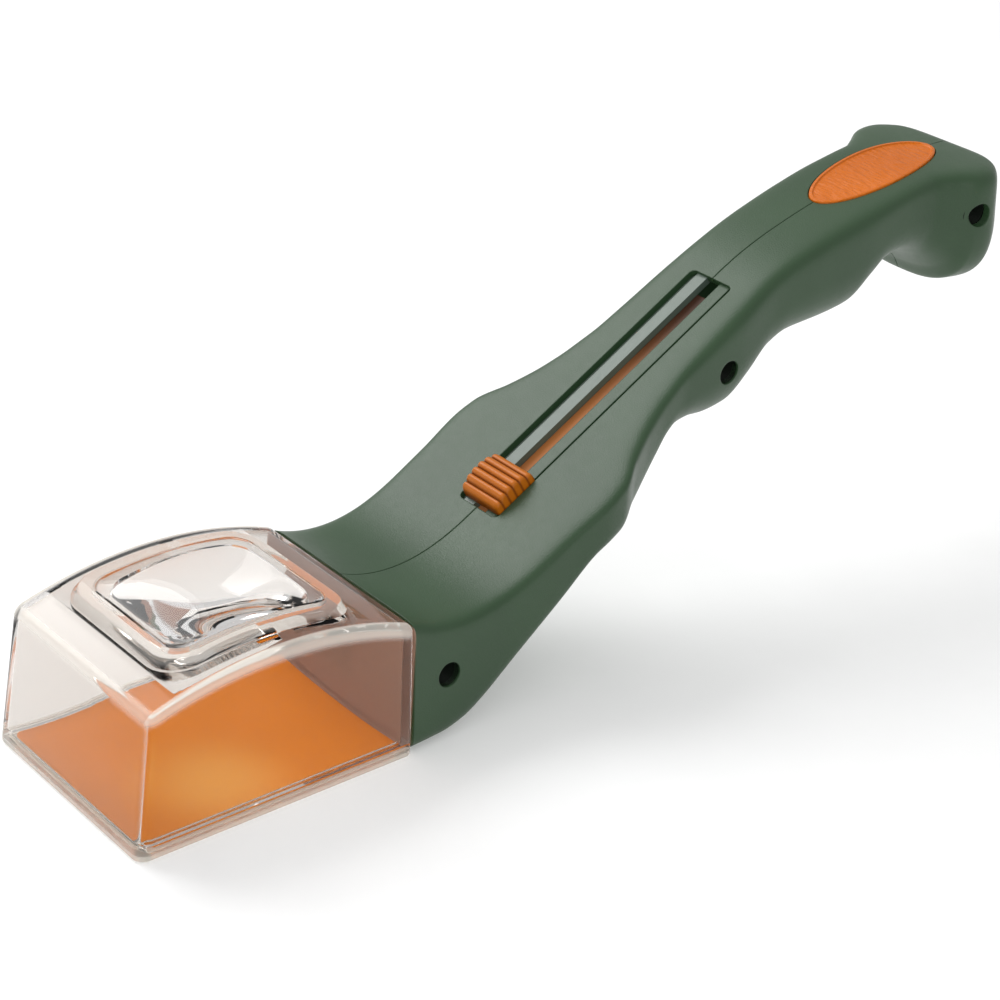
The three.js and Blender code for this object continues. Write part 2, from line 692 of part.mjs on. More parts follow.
// The thumb slider, in the track frame: a ribbed dome on a plate that rides on the rails, two feet
// beside them, and a stem that reaches down between them to the tongue.
function makeSlider() {
  const length = sliderLength;
  const halfWidth = slotHalfWidth - slideClearance;
  const rise = sliderDome - sliderEndHeight;
  const domeRadius = (rise ** 2 + (length / 2) ** 2) / (2 * rise);
  const dome = (u) => sliderDome - domeRadius + Math.sqrt(domeRadius ** 2 - (u - length / 2) ** 2);
  const profile = [[0, -railDepth + slideClearance]];
  const perRib = 6;
  for (let k = 0; k <= ribCount * perRib; k++) {
    const u = length * k / (ribCount * perRib);
    const wave = Math.abs(Math.sin(Math.PI * ribCount * u / length));
    profile.push([u, dome(u) - ribDepth * (1 - wave)]);
  }
  profile.push([length, -railDepth + slideClearance]);
  const side = new THREE.Shape(profile.map(([u, n]) => new THREE.Vector2(u, n)));
  const bar = new THREE.ExtrudeGeometry(side, { depth: 2 * halfWidth + 2, bevelEnabled: false });
  bar.rotateX(Math.PI / 2);
  bar.translate(0, halfWidth + 1, 0);
  let slider = solidOf(bar).intersect(roundedPrism(0, length, halfWidth, slotCorner, -4, 8));
  const foot = length / 2 - 1.4;
  for (const sign of [1, -1]) {
    const inner = sign * (railOuter + slideClearance);
    const outer = sign * halfWidth;
    slider = slider.add(block(
      length / 2 - foot, length / 2 + foot, Math.min(inner, outer), Math.max(inner, outer),
      -shelfDepth + slideClearance, 0,
    ));
  }
  const stem = railInner - slideClearance - 0.1;
  slider = slider.add(block(
    (length - stemLength) / 2, (length + stemLength) / 2, -stem, stem,
    -shelfDepth - shelfThickness, 0,
  ));
  const bore = uprightRod(clampBoreRadius, length / 2, -8, 1.5);
  return geometryOf(slider.subtract(bore));
}

// A rod along the track frame's third axis.
function uprightRod(radius, u, n0, n1) {
  const geometry = new THREE.CylinderGeometry(radius, radius, n1 - n0, 20);
  geometry.rotateX(Math.PI / 2);
  geometry.translate(u, 0, (n0 + n1) / 2);
  return solidOf(geometry);
}

const clampTop = -(tongueDepth + sheetThickness / 2 + slideClearance);

function makeClamp() {
  const plate = block(
    (sliderLength - clampLength) / 2, (sliderLength + clampLength) / 2,
    -tongueHalfWidth, tongueHalfWidth, clampTop - clampThickness, clampTop,
  );
  return geometryOf(plate.subtract(uprightRod(clampBoreRadius, sliderLength / 2, -12, 0)));
}

function makeClampScrew() {
  const radius = clampScrewRadius;
  const head = clampTop - clampThickness - slideClearance;
  const profile = [
    [0, head - clampScrewHead], [radius * 2, head - clampScrewHead], [radius * 2, head], [radius, head],
    [radius, 0.8], [0, 1.2],
  ].map(([r, h]) => new THREE.Vector2(r, h));
  const geometry = new THREE.LatheGeometry(profile, 14);
  geometry.rotateX(Math.PI / 2);
  geometry.translate(sliderLength / 2, 0, 0);
  return geometry;
}

// The trapdoor is one flexible sheet: a wide panel under the head, which narrows behind the handle's
// front to a tongue that runs up to the slider and on below the slot.
function makeTrapdoor() {
  const front = panelFront - handleFront - pathStart;
  const corner = evenly(0, 1, 4).map((share) => front + panelCorner * (1 - Math.cos(share * Math.PI / 2)));
  const width = (s) => {
    const inset = THREE.MathUtils.clamp((front + panelCorner - s) / panelCorner, 0, 1);
    const square = panelHalfWidth - panelCorner * (1 - Math.sqrt(1 - inset ** 2));
    const share = THREE.MathUtils.smoothstep(s, tongueFrom, tongueFrom + tongueTaper);
    return square + (tongueHalfWidth - panelHalfWidth) * share;
  };
  const half = sheetThickness / 2;
  const stations = [...corner, ...evenly(tongueFrom, tongueFrom + tongueTaper, 10)];
  stations.push(...evenly(tongueFrom + tongueTaper, sheetPath.end, 40).slice(1));
  const hole = onTrack(uprightRod(clampBoreRadius + 0.1, sliderMiddle, -9, 0));
  return geometryOf(bandAlongPath(stations, -half, half, width).subtract(hole));
}

function piece(name, geometry, material) {
  const mesh = new THREE.Mesh(geometry, material);
  mesh.name = name;
  return mesh;
}

const forms = {
  outside: handleForm(0, 22, 6),
  core: handleForm(shellWall / 2, 18, 8),
  hollow: handleForm(shellWall, 14, 9),
};
const pocket = badgePocket();
const shells = [1, -1].map((side) => makeShell(forms, side).subtract(pocket));

const headGroup = new THREE.Group();
headGroup.add(piece('viewing_head', makeHead(), clear));
headGroup.add(piece('magnifier_lens', makeLens(), clear));

const handleGroup = new THREE.Group();
handleGroup.position.x = handleFront;
handleGroup.add(piece('handle_shell_left', geometryOf(shells[0]), green));
handleGroup.add(piece('handle_shell_right', geometryOf(shells[1]), green));
handleGroup.add(piece('trapdoor', makeTrapdoor(), orange));
handleGroup.add(piece('badge_oval', makeBadge(), orange));
for (const site of screwSites) {
  const screw = piece(site.name, makeScrew(), steel);
  screw.position.set(site.x, seatOf(site) - screwHeadHeight - screwClearance, site.z);
  handleGroup.add(screw);
}

const trackGroup = new THREE.Group();
trackGroup.applyMatrix4(trackFrame);
for (const [name, geometry, material] of [
  ['thumb_slider', makeSlider(), orange],
  ['tongue_clamp', makeClamp(), orange],
  ['clamp_screw', makeClampScrew(), steel],
]) {
  const mesh = piece(name, geometry, material);
  mesh.position.x = sliderStart;
  trackGroup.add(mesh);
}
handleGroup.add(trackGroup);

const bugCatcher = new THREE.Group();
bugCatcher.add(headGroup, handleGroup);
bugCatcher.updateMatrixWorld(true);
const overall = new THREE.Box3().setFromObject(bugCatcher, true);
bugCatcher.position.x = -(overall.min.x + overall.max.x) / 2;

export default bugCatcher;
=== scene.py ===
import math

import bpy
import numpy as np
from mathutils import Matrix, Vector


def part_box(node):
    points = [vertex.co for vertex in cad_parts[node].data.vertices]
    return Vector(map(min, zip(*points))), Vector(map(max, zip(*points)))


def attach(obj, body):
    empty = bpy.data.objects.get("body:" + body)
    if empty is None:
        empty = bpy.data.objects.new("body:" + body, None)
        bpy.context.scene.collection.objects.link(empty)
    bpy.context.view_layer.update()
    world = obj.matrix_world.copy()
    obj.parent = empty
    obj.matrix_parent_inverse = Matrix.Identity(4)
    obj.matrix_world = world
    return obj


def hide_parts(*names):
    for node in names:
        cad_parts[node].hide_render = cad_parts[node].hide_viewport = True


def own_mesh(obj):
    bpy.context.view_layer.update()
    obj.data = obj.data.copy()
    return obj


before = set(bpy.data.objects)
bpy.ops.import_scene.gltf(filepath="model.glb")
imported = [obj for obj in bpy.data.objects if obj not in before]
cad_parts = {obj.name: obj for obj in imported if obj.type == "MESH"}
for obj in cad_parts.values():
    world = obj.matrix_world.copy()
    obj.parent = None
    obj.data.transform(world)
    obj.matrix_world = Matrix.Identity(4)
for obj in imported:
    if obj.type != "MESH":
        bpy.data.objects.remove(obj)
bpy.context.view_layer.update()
print("frame loaded")

# Lengths here are in millimetres from the head's front lower edge. A mesh gets them in metres, moved
# so that the object's middle is at X = 0, as in the frame.
middleX = 1000 * (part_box("handle_shell_left")[1].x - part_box("viewing_head")[0].x) / 2


sharpFrom = 32  # edges that turn by more degrees stay sharp


def toFrame(points):
    moved = np.array(points, float)
    moved[..., 0] -= middleX
    return moved / 1000


def meshObject(name, points, faces, material=None, sharpAngle=sharpFrom):
    # Points in millimetres and faces as lists of corners become an object at the origin.
    mesh = bpy.data.meshes.new(name)
    mesh.from_pydata(toFrame(points).reshape(-1, 3).tolist(), [], [list(map(int, f)) for f in faces])
    mesh.validate()
    outward(mesh)
    piece = bpy.data.objects.new(name, mesh)
    bpy.context.scene.collection.objects.link(piece)
    if material:
        mesh.materials.append(material)
    smooth(piece, sharpAngle)
    return piece


def outward(mesh):
    # volume as the sum of corner products over a fan of each face; negative means inside out
    mesh.calc_loop_triangles()
    co = np.empty(len(mesh.vertices) * 3)
    mesh.vertices.foreach_get("co", co)
    co = co.reshape(-1, 3)
    tris = np.empty(len(mesh.loop_triangles) * 3, int)
    mesh.loop_triangles.foreach_get("vertices", tris)
    a, b, c = (co[tris.reshape(-1, 3)[:, k]] for k in range(3))
    if np.einsum("ij,ij->i", a, np.cross(b, c)).sum() < 0:
        mesh.flip_normals()


def smooth(piece, angle=sharpFrom):
    piece.data.shade_smooth()
    piece.data.set_sharp_from_angle(angle=math.radians(angle))


def cut(piece, *cutters, operation="DIFFERENCE"):
    # Takes each cutter out of the piece, or joins it on, and deletes it.
    for cutter in cutters:
        tool = piece.modifiers.new("cut", "BOOLEAN")
        tool.solver = "EXACT"
        tool.operation = operation
        tool.object = cutter
    bpy.context.view_layer.update()
    graph = bpy.context.evaluated_depsgraph_get()
    made = bpy.data.meshes.new_from_object(piece.evaluated_get(graph))
    made.name = piece.name
    piece.modifiers.clear()
    piece.data = made
    smooth(piece)
    for cutter in cutters:
        bpy.data.objects.remove(cutter)


def hermite(knots):
    # Cubic pieces through knots (x, value, slope).
    table = np.array(knots, float)

    def curve(x):
        x = np.asarray(x, float)
        k = np.clip(np.searchsorted(table[:, 0], x, side="right") - 1, 0, len(table) - 2)
        span = table[k + 1, 0] - table[k, 0]
        t = np.clip((x - table[k, 0]) / span, 0, 1)
        s = 1 - t
        return (s * s * (1 + 2 * t) * table[k, 1] + s * s * t * span * table[k, 2]
                + t * t * (1 + 2 * s) * table[k + 1, 1] - t * t * s * span * table[k + 1, 2])
    return curve


def fair(knots):
    # Cubic pieces through knots (x, value) whose slopes never overshoot: harmonic mean of the
    # slopes on both sides, or level where they change sign.
    table = np.array(knots, float)
    step = np.diff(table[:, 1]) / np.diff(table[:, 0])
    before, after = step[:-1], step[1:]
    total = np.where(before + after == 0, 1, before + after)
    inner = np.where(before * after <= 0, 0, 2 * before * after / total)
    slopes = np.concatenate([[step[0]], inner, [step[-1]]])
    return hermite(np.column_stack([table, slopes]))


def ringFaces(rows, count):
    # The corners' numbers, ring by ring, and the four-cornered faces between neighbouring rings.
    index = np.arange(rows * count).reshape(rows, count)
    following = np.roll(index, -1, axis=1)
    sides = np.stack([index[:-1], following[:-1], following[1:], index[1:]], axis=-1).reshape(-1, 4)
    return index, sides.tolist()


def tube(name, rings, material=None):
    # A closed solid through rings, with one flat face at each end.
    rings = np.asarray(rings, float)
    index, sides = ringFaces(*rings.shape[:2])
    return meshObject(name, rings, sides + [index[0][::-1].tolist(), index[-1].tolist()], material)


def closedSkin(name, rings, material=None, sharpAngle=sharpFrom):
    # A closed skin through rings. Each ring is half an outline with y <= 0 from one point on the
    # middle plane to the other; its mirror image is added. The ends are closed by strips that join
    # mirror images, so they follow any curve along X.
    rings = np.asarray(rings, float)
    other = rings[:, -2:0:-1] * [1, -1, 1]
    full = np.concatenate([rings, other], axis=1)
    index, sides = ringFaces(*full.shape[:2])
    near = np.arange(full.shape[1] // 2)
    caps = []
    for row, turn in ((index[0], 1), (index[-1], -1)):
        strip = np.stack([row[near], row[-near], row[-near - 1], row[near + 1]], axis=-1)[:, ::turn]
        caps.extend(dedupe(face) for face in strip)
    return meshObject(name, full, sides + [c for c in caps if len(c) > 2], material, sharpAngle)


def dedupe(face):
    return list(dict.fromkeys(int(v) for v in face))


def halfPlan(x0, x1, halfWidth, frontRadius, rearRadius, sideSteps=40, arcSteps=10):
    # Half a rounded rectangle on the plan: a quarter arc, a straight side, a quarter arc.
    turn = np.linspace(0, np.pi / 2, arcSteps + 1)
    front = np.column_stack([
        x0 + frontRadius * (1 - np.cos(turn)), -(halfWidth - frontRadius * (1 - np.sin(turn)))])
    rear = np.column_stack([
        x1 - rearRadius * (1 - np.sin(turn)), -(halfWidth - rearRadius * (1 - np.cos(turn)))])
    along = np.linspace(x0 + frontRadius, x1 - rearRadius, sideSteps + 1)[1:-1]
    side = np.column_stack([along, np.full_like(along, -halfWidth)])
    return np.vstack([[x0, 0], front, side, rear, [x1, 0]])


def withHeight(plan, height):
    # points on the plan become points in space, at one height or each at its own
    return np.column_stack([plan, np.broadcast_to(height, len(plan))])


def opened(material):
    # what an addition to a material works with: nodes, links, the shader and the place on the object
    nodes = material.node_tree.nodes
    place = nodes.new("ShaderNodeTexCoord")
    return nodes, material.node_tree.links, nodes["Principled BSDF"], place.outputs["Object"]


def newMaterial(name):
    material = bpy.data.materials.new(name)
    material.use_nodes = True
    return material, *opened(material)


def noise(nodes, links, place, scale, detail=3, roughness=0.55):
    texture = nodes.new("ShaderNodeTexNoise")
    texture.inputs["Scale"].default_value = scale
    texture.inputs["Detail"].default_value = detail
    texture.inputs["Roughness"].default_value = roughness
    links.new(place, texture.inputs["Vector"])
    return texture.outputs["Fac"]


def ramp(nodes, links, value, stops):
    made = nodes.new("ShaderNodeValToRGB")
    made.color_ramp.elements[0].position = stops[0][0]
    made.color_ramp.elements[0].color = (*stops[0][1], 1)
    made.color_ramp.elements[1].position = stops[-1][0]
    made.color_ramp.elements[1].color = (*stops[-1][1], 1)
    for position, colour in stops[1:-1]:
        made.color_ramp.elements.new(position).color = (*colour, 1)
    links.new(value, made.inputs["Fac"])
    return made.outputs["Color"]


def scaled(nodes, links, value, low, high):
    # 0 to 1 becomes low to high
    made = nodes.new("ShaderNodeMapRange")
    made.inputs["To Min"].default_value = low
    made.inputs["To Max"].default_value = high
    links.new(value, made.inputs["Value"])
    return made.outputs["Result"]


def calc(nodes, links, operation, a, b=0.0, c=0.0):
    # one Math node; each input is a socket or a number
    made = nodes.new("ShaderNodeMath")
    made.operation = operation
    for socket, value in zip(made.inputs, (a, b, c)):
        if isinstance(value, (int, float)):
            socket.default_value = value
        else:
            links.new(value, socket)
    return made.outputs["Value"]


def product(nodes, links, made, *others):
    # shares multiplied with each other
    for other in others:
        made = calc(nodes, links, "MULTIPLY", made, other)
    return made


def fade(nodes, links, value, start, end):
    # 0 up to start, 1 from end on, eased in between
    made = nodes.new("ShaderNodeMapRange")
    made.interpolation_type = "SMOOTHSTEP"
    made.inputs["From Min"].default_value = start
    made.inputs["From Max"].default_value = end
    links.new(value, made.inputs["Value"])
    return made.outputs["Result"]


def band(nodes, links, value, limits, shift=0.0):
    # a fade between two distances in millimetres
    start, end = ((limit + shift) / 1000 for limit in limits)
    return fade(nodes, links, value, start, end)


def axes(nodes, links, place):
    # the three coordinates of a place
    split = nodes.new("ShaderNodeSeparateXYZ")
    links.new(place, split.inputs[0])
    return split.outputs


def blendColour(nodes, links, shader, share, colour):
    # the base colour goes over to another one as the share goes to 1
    blend = nodes.new("ShaderNodeMix")
    blend.data_type = "RGBA"
    links.new(share, blend.inputs["Factor"])
    links.new(shader.inputs["Base Color"].links[0].from_socket, blend.inputs[6])
    blend.inputs[7].default_value = (*colour, 1)
    links.new(blend.outputs[2], shader.inputs["Base Color"])


def bump(nodes, links, heights, shader, edge=0.0):
    # Chains bumps of (height, strength, distance) on a normal that is rounded over at edges.
    normal = None
    if edge:
        rounded = nodes.new("ShaderNodeBevel")
        rounded.samples = 6
        rounded.inputs["Radius"].default_value = edge
        normal = rounded.outputs["Normal"]
    for height, strength, distance in heights:
        made = nodes.new("ShaderNodeBump")
        made.inputs["Strength"].default_value = strength
        made.inputs["Distance"].default_value = distance
        links.new(height, made.inputs["Height"])
        if normal:
            links.new(normal, made.inputs["Normal"])
        normal = made.outputs["Normal"]
    links.new(normal, shader.inputs["Normal"])


def mouldedPlastic(name, colours, roughness, grain, edge, gloss=0.5):
    # Moulded plastic: colour drifts slowly, and a fine spark-eroded grain breaks up the gloss.
    material, nodes, links, shader, place = newMaterial(name)
    drift = noise(nodes, links, place, 28, 4)
    fine = noise(nodes, links, place, 2600, 3, 0.6)
    coarse = noise(nodes, links, place, 420, 2)
    links.new(ramp(nodes, links, drift, [(0.3, colours[0]), (0.7, colours[1])]),
              shader.inputs["Base Color"])
    links.new(scaled(nodes, links, coarse, roughness[0], roughness[1]), shader.inputs["Roughness"])
    bump(nodes, links, [(fine, grain, 0.00012), (drift, 0.06, 0.0008)], shader, edge)
    shader.inputs["IOR"].default_value = 1.5
    shader.inputs["Specular IOR Level"].default_value = gloss
    return material


green = mouldedPlastic("green moulded plastic", [(0.02, 0.053, 0.02), (0.026, 0.065, 0.025)],
                       (0.34, 0.42), 0.6, 0.0005, 0.48)
# painted light: a lighter copy of the green for the far rail's flat face, where light falls on it
farRailPaintedLight = mouldedPlastic("green plastic far rail painted lighter", [(0.09, 0.125, 0.1), (0.11, 0.15, 0.12)],
                             (0.28, 0.38), 0.15, 0.00015)


# Bands in millimetres on the handle's front face, each from none to full.
bulkhead = {"face": (0.2, 0.1), "side": (29.8, 29), "low": (0.8, 1.6), "high": (34.5, 33.5)}


def addBulkheadShadedSheetTint(material, colour):
    # the face behind the clear head takes a brown cast: colour by place, only on that plane. The brown
    # stands for an orange sheet seen in shade there, so it is partly painted shade.
    nodes, links, shader, place = opened(material)
    x, y, z = axes(nodes, links, place)
    share = product(
        nodes, links, band(nodes, links, x, bulkhead["face"], handleFront - middleX),
        band(nodes, links, calc(nodes, links, "ABSOLUTE", y), bulkhead["side"]),
        band(nodes, links, z, bulkhead["low"]), band(nodes, links, z, bulkhead["high"]))
    blendColour(nodes, links, shader, share, colour)


orange = mouldedPlastic("orange moulded plastic", [(0.46, 0.12, 0.002), (0.54, 0.145, 0.003)],
                        (0.36, 0.46), 0.3, 0.0002, 0.35)
# painted shade: a near-black copy of the green for the walls inside the screw holes
wellPaintedShade = mouldedPlastic("green plastic painted shade", [(0.004, 0.007, 0.004), (0.006, 0.01, 0.006)],
                           (0.6, 0.7), 0.2, 0.0002, 0.2)
# painted shade: the tongue is the same sheet as the panel, given a darker, duller orange for the shade
# of its slot
tongueOrangePaintedShade = mouldedPlastic("orange tongue painted darker", [(0.4, 0.13, 0.02), (0.48, 0.16, 0.03)],
                              (0.45, 0.55), 0.2, 0.0001, 0.3)
orangeSheet = mouldedPlastic("orange flexible sheet", [(0.86, 0.243, 0.001), (0.94, 0.268, 0.002)],
                             (0.4, 0.52), 0.2, 0.0001, 0.25)
badgeOrange = mouldedPlastic("orange badge plastic", [(0.5, 0.108, 0.001), (0.62, 0.142, 0.001)],
                             (0.34, 0.44), 0.12, 0.0002, 0.25)


def addRelief(material, turn, stretch, scale, depth):
    # fine cast strokes on a face: noise stretched along one direction, as a last bump
    nodes, links, shader, place = opened(material)
    laid = nodes.new("ShaderNodeMapping")
    laid.inputs["Rotation"].default_value = (0, 0, math.radians(turn))
    laid.inputs["Scale"].default_value = (1, stretch, 1)
    links.new(place, laid.inputs["Vector"])
    strokes = noise(nodes, links, laid.outputs["Vector"], scale, 3, 0.5)
    made = nodes.new("ShaderNodeBump")
    made.inputs["Strength"].default_value = 0.7
    made.inputs["Distance"].default_value = depth
    links.new(strokes, made.inputs["Height"])
    links.new(shader.inputs["Normal"].links[0].from_socket, made.inputs["Normal"])
    links.new(made.outputs["Normal"], shader.inputs["Normal"])


addRelief(badgeOrange, 20, 0.3, 800, 0.0011)


def addPaintedLightAndShade(material, middle, radius, colour):
    # painted light and shade: another colour round a point, by distance from it
    nodes, links, shader, place = opened(material)
    away = nodes.new("ShaderNodeVectorMath")
    away.operation = "DISTANCE"
    links.new(place, away.inputs[0])
    away.inputs[1].default_value = tuple(toFrame(middle))
    near = nodes.new("ShaderNodeMapRange")
    near.interpolation_type = "SMOOTHERSTEP"
    near.inputs["From Min"].default_value = radius
    near.inputs["From Max"].default_value = 0.0
    links.new(away.outputs["Value"], near.inputs["Value"])
    blendColour(nodes, links, shader, near.outputs["Result"], colour)


addPaintedLightAndShade(orangeSheet, (31, -14, 2), 0.026, (1.0, 0.41, 0.06))  # painted light: paler and warmer where the lens gathers light onto the panel
addPaintedLightAndShade(tongueOrangePaintedShade, (198, 0, 84), 0.068, (0.05, 0.014, 0.003))  # shaded at the slot's upper end


def addGrooveShade(material, pitch, start, angle, colour):
    # darker between the ribs: depth of shade falls with the sine wave that shapes the ribs
    nodes, links, shader, place = opened(material)
    along = nodes.new("ShaderNodeVectorMath")
    along.operation = "DOT_PRODUCT"
    links.new(place, along.inputs[0])
    along.inputs[1].default_value = (math.cos(angle), 0, math.sin(angle))
    turn = calc(nodes, links, "MULTIPLY_ADD", along.outputs["Value"], math.pi / pitch,
                -math.pi * start / pitch)
    wave = calc(nodes, links, "ABSOLUTE", calc(nodes, links, "SINE", turn))
    blendColour(nodes, links, shader, fade(nodes, links, wave, 0.8, 0.0), colour)


def clearPlastic(name, tint, roughness, refraction):
    # clear acrylic: faint moulding flow lines in the surface and a faint warm tint
    material, nodes, links, shader, place = newMaterial(name)
    stretch = nodes.new("ShaderNodeMapping")
    stretch.inputs["Scale"].default_value = (1, 0.35, 2.2)
    links.new(place, stretch.inputs["Vector"])
    flow = noise(nodes, links, stretch.outputs["Vector"], 45, 2, 0.4)
    haze = noise(nodes, links, place, 300, 3)
    shader.inputs["Base Color"].default_value = (*tint, 1)
    shader.inputs["Transmission Weight"].default_value = 1
    shader.inputs["IOR"].default_value = refraction
    links.new(scaled(nodes, links, haze, roughness[0], roughness[1]), shader.inputs["Roughness"])
    bump(nodes, links, [(flow, 0.08, 0.0006)], shader)
    return material


# Where the clear head is clouded: bands in millimetres, each from none to full, the shares of the
# fainter ones, and how much light still passes where each is full.
clouding = {
    "foot": (2.1, 1.2), "roofEdge": (4.4, 2.1), "side": (27, 27.9), "front": (6.6, 5.6),
    "farSide": (26.6, 27.4), "frame": (-0.3, -1.5), "rear": (-0.2, -0.05), "rearTop": (2.2, 3),
    "rearFoot": (2.2, 3.2), "rearSide": (28.95, 28.8), "rearLean": 0.0445, "frontShare": 0.6,
    "frameShare": 0.5, "milkyPass": 0.62, "rimPass": 0.83, "farRimPass": 0.7, "rearPass": 0.4,
}


def addClouding(material, tint, edgeTint, rearShadedSheetTint):
    # The head's foot, its frame round the lens and its rounded roof edge are a little milky, as
    # thick moulded edges are. The rear wall and the lug behind it are clouded, with a brown cast that
    # stands for an orange sheet seen in shade: partly painted shade.
    nodes, links, shader, place = opened(material)
    x, y, z = axes(nodes, links, place)
    aside = calc(nodes, links, "ABSOLUTE", y)
    # depth below the roof's circle
    along = calc(nodes, links, "ADD", x, (middleX - head["archCentre"]) / 1000)
    fall = calc(nodes, links, "SQRT", calc(
        nodes, links, "MULTIPLY_ADD", product(nodes, links, along, along), -1.0,
        (head["archRadius"] / 1000) ** 2))
    roof = calc(nodes, links, "ADD", fall, (head["crown"] - head["archRadius"]) / 1000)
    below = calc(nodes, links, "SUBTRACT", roof, z)

    def part(value, key, shift=0.0):
        return band(nodes, links, value, clouding[key], shift)

    high = part(below, "roofEdge")
    front = product(nodes, links, part(x, "front", -middleX), clouding["frontShare"])
    rim = product(nodes, links, high, calc(nodes, links, "MAXIMUM", part(aside, "side"), front))
    farRim = product(nodes, links, high, part(y, "farSide"))
    raised = product(nodes, links, part(below, "frame"), clouding["frameShare"])
    milky = calc(nodes, links, "MAXIMUM", calc(
        nodes, links, "MAXIMUM", part(z, "foot"), rim), raised)
    leaning = calc(nodes, links, "MULTIPLY_ADD", z, clouding["rearLean"], aside)
    cloud = product(
        nodes, links, part(x, "rear", head["length"] - head["rearWall"] - middleX),
        part(leaning, "rearSide"), part(below, "rearTop"), part(z, "rearFoot"))
    passing = [scaled(nodes, links, share, 1, clouding[key]) for share, key in (
        (milky, "milkyPass"), (rim, "rimPass"), (farRim, "farRimPass"), (cloud, "rearPass"))]
    links.new(product(nodes, links, *passing), shader.inputs["Transmission Weight"])
    links.new(ramp(nodes, links, milky, [(0, tint), (1, edgeTint)]), shader.inputs["Base Color"])
    blendColour(nodes, links, shader, cloud, rearShadedSheetTint)
    shader.inputs["Specular Tint"].default_value = (0.45, 0.45, 0.45, 1)


def screwSteel(name):
    # dull steel: stains change its colour, its gloss and its surface together
    material, nodes, links, shader, place = newMaterial(name)
    stain = noise(nodes, links, place, 900, 4)
    links.new(ramp(nodes, links, stain, [(0.3, (0.035, 0.037, 0.04)), (0.7, (0.09, 0.09, 0.095))]),
              shader.inputs["Base Color"])
    links.new(scaled(nodes, links, stain, 0.35, 0.55), shader.inputs["Roughness"])
    shader.inputs["Metallic"].default_value = 1
    bump(nodes, links, [(stain, 0.2, 0.0001)], shader)
    return material


steel = screwSteel("dark zinc steel")
print("materials made")

head = {
    "length": 77.4, "width": 62.4, "shoulder": 35.5, "wall": 2.2, "rearWall": 2.5,
    "frontLean": 3.8, "sideLean": 1.7, "crown": 42.4, "archRadius": 111, "archCentre": 38.1,
    "roofEdge": 1.7, "roofInner": 0.5, "frontRadius": 3, "rearRadius": 2, "foot": 0.7,
    "ledge": 1.3, "ledgeWidth": 2.5, "frontLedge": 3, "grooveStop": 1.2, "groove": 1.5, "bead": 0.8,
    "beadWidth": 1.5,
}
lens = {
    "length": 43.4, "width": 36.8, "corner": 5, "edge": 2.1, "topDome": 3, "lowerDome": 5, "seat": 2.8,
    "centre": 39.4, "rim": 5.2, "rimDraft": 1.5, "rimHeight": 2.4, "rimCorner": 9,
    "rimRound": 0.6, "gap": 0.3, "lift": 0.6,
}
lug = {"halfWidth": 6, "low": 9.5, "high": 27, "lip": 2.6, "thickness": 2, "neck": 2.5, "gap": 0.3}
handleFront = head["length"] + 0.3
# partly painted shade: brown on the handle's front face for an orange sheet in shade
addBulkheadShadedSheetTint(green, (0.36, 0.22, 0.16))
headTint = (0.82, 0.795, 0.77)
clearHead = clearPlastic("clear acrylic", headTint, (0.004, 0.02), 1.28)
addClouding(clearHead, headTint, (0.91, 0.865, 0.79), (0.5, 0.335, 0.265))
clearLens = clearPlastic("lens acrylic", (0.95, 0.94, 0.93), (0.0, 0.008), 1.38)


def roofHeight(x):
    # a circle in side view, so the roof is part of a cylinder across the head
    fall = np.sqrt(head["archRadius"] ** 2 - (x - head["archCentre"]) ** 2)
    return head["crown"] - head["archRadius"] + fall


def drafted(points):
    # walls lean inwards in proportion to height
    x, y, z = np.moveaxis(points, -1, 0)
    share = z / head["shoulder"]
    return np.stack([
        x + head["frontLean"] * share * (1 - x / head["length"]),
        y * (1 - head["sideLean"] / (head["width"] / 2) * share), z], axis=-1)


def headBlock(name, inset, low, high=None, front=None, rear=None, dome=0, edge=0, foot=0,
              material=None):
    # A drafted block on the head's plan up to a height or to the roof; its upper edge is a quarter
    # round, and its lower edge a small chamfer.
    front = inset if front is None else front
    rear = inset if rear is None else rear

    def plan(more):
        return halfPlan(
            front + more, head["length"] - rear - more, head["width"] / 2 - inset - more,
            max(head["frontRadius"] - inset - more, 0.8), max(head["rearRadius"] - rear - more, 0.6))
    rings = []
    if foot:
        rings += [withHeight(plan(foot), low), withHeight(plan(foot * 0.3), low + foot * 0.3)]
    rings.append(withHeight(plan(0), low + foot))
    turns = np.linspace(0, np.pi / 2, 9) if edge else [np.pi / 2]
    for turn in turns:
        more = edge * (1 - np.cos(turn))
        flat = plan(more)
        top = roofHeight(flat[:, 0]) - dome if high is None else high
        rings.append(withHeight(flat, top - edge * (1 - np.sin(turn))))
    return closedSkin(name, drafted(np.array(rings)), material)


def roofBlock(name, length, width, corner, levels):
    # A rounded rectangle round the window that follows the roof, between offsets from it.
    rings = []
    for offset, inset in levels:
        flat = halfPlan(lens["centre"] - length / 2 + inset, lens["centre"] + length / 2 - inset,
                        width / 2 - inset, corner - inset, corner - inset, 40, 12)
        rings.append(withHeight(flat, roofHeight(flat[:, 0]) + offset))
    return closedSkin(name, rings)


def box(name, x0, x1, y0, y1, z0, z1, place=np.array):
    # eight corners and six faces, along the frame's axes or laid by a function such as onTrack
    corners = [[x, y, z] for z in (z0, z1) for x, y in ((x0, y0), (x1, y0), (x1, y1), (x0, y1))]
    faces = [(3, 2, 1, 0), (4, 5, 6, 7), (0, 1, 5, 4), (1, 2, 6, 5), (2, 3, 7, 6), (3, 0, 4, 7)]
    return meshObject(name, place(corners), faces)


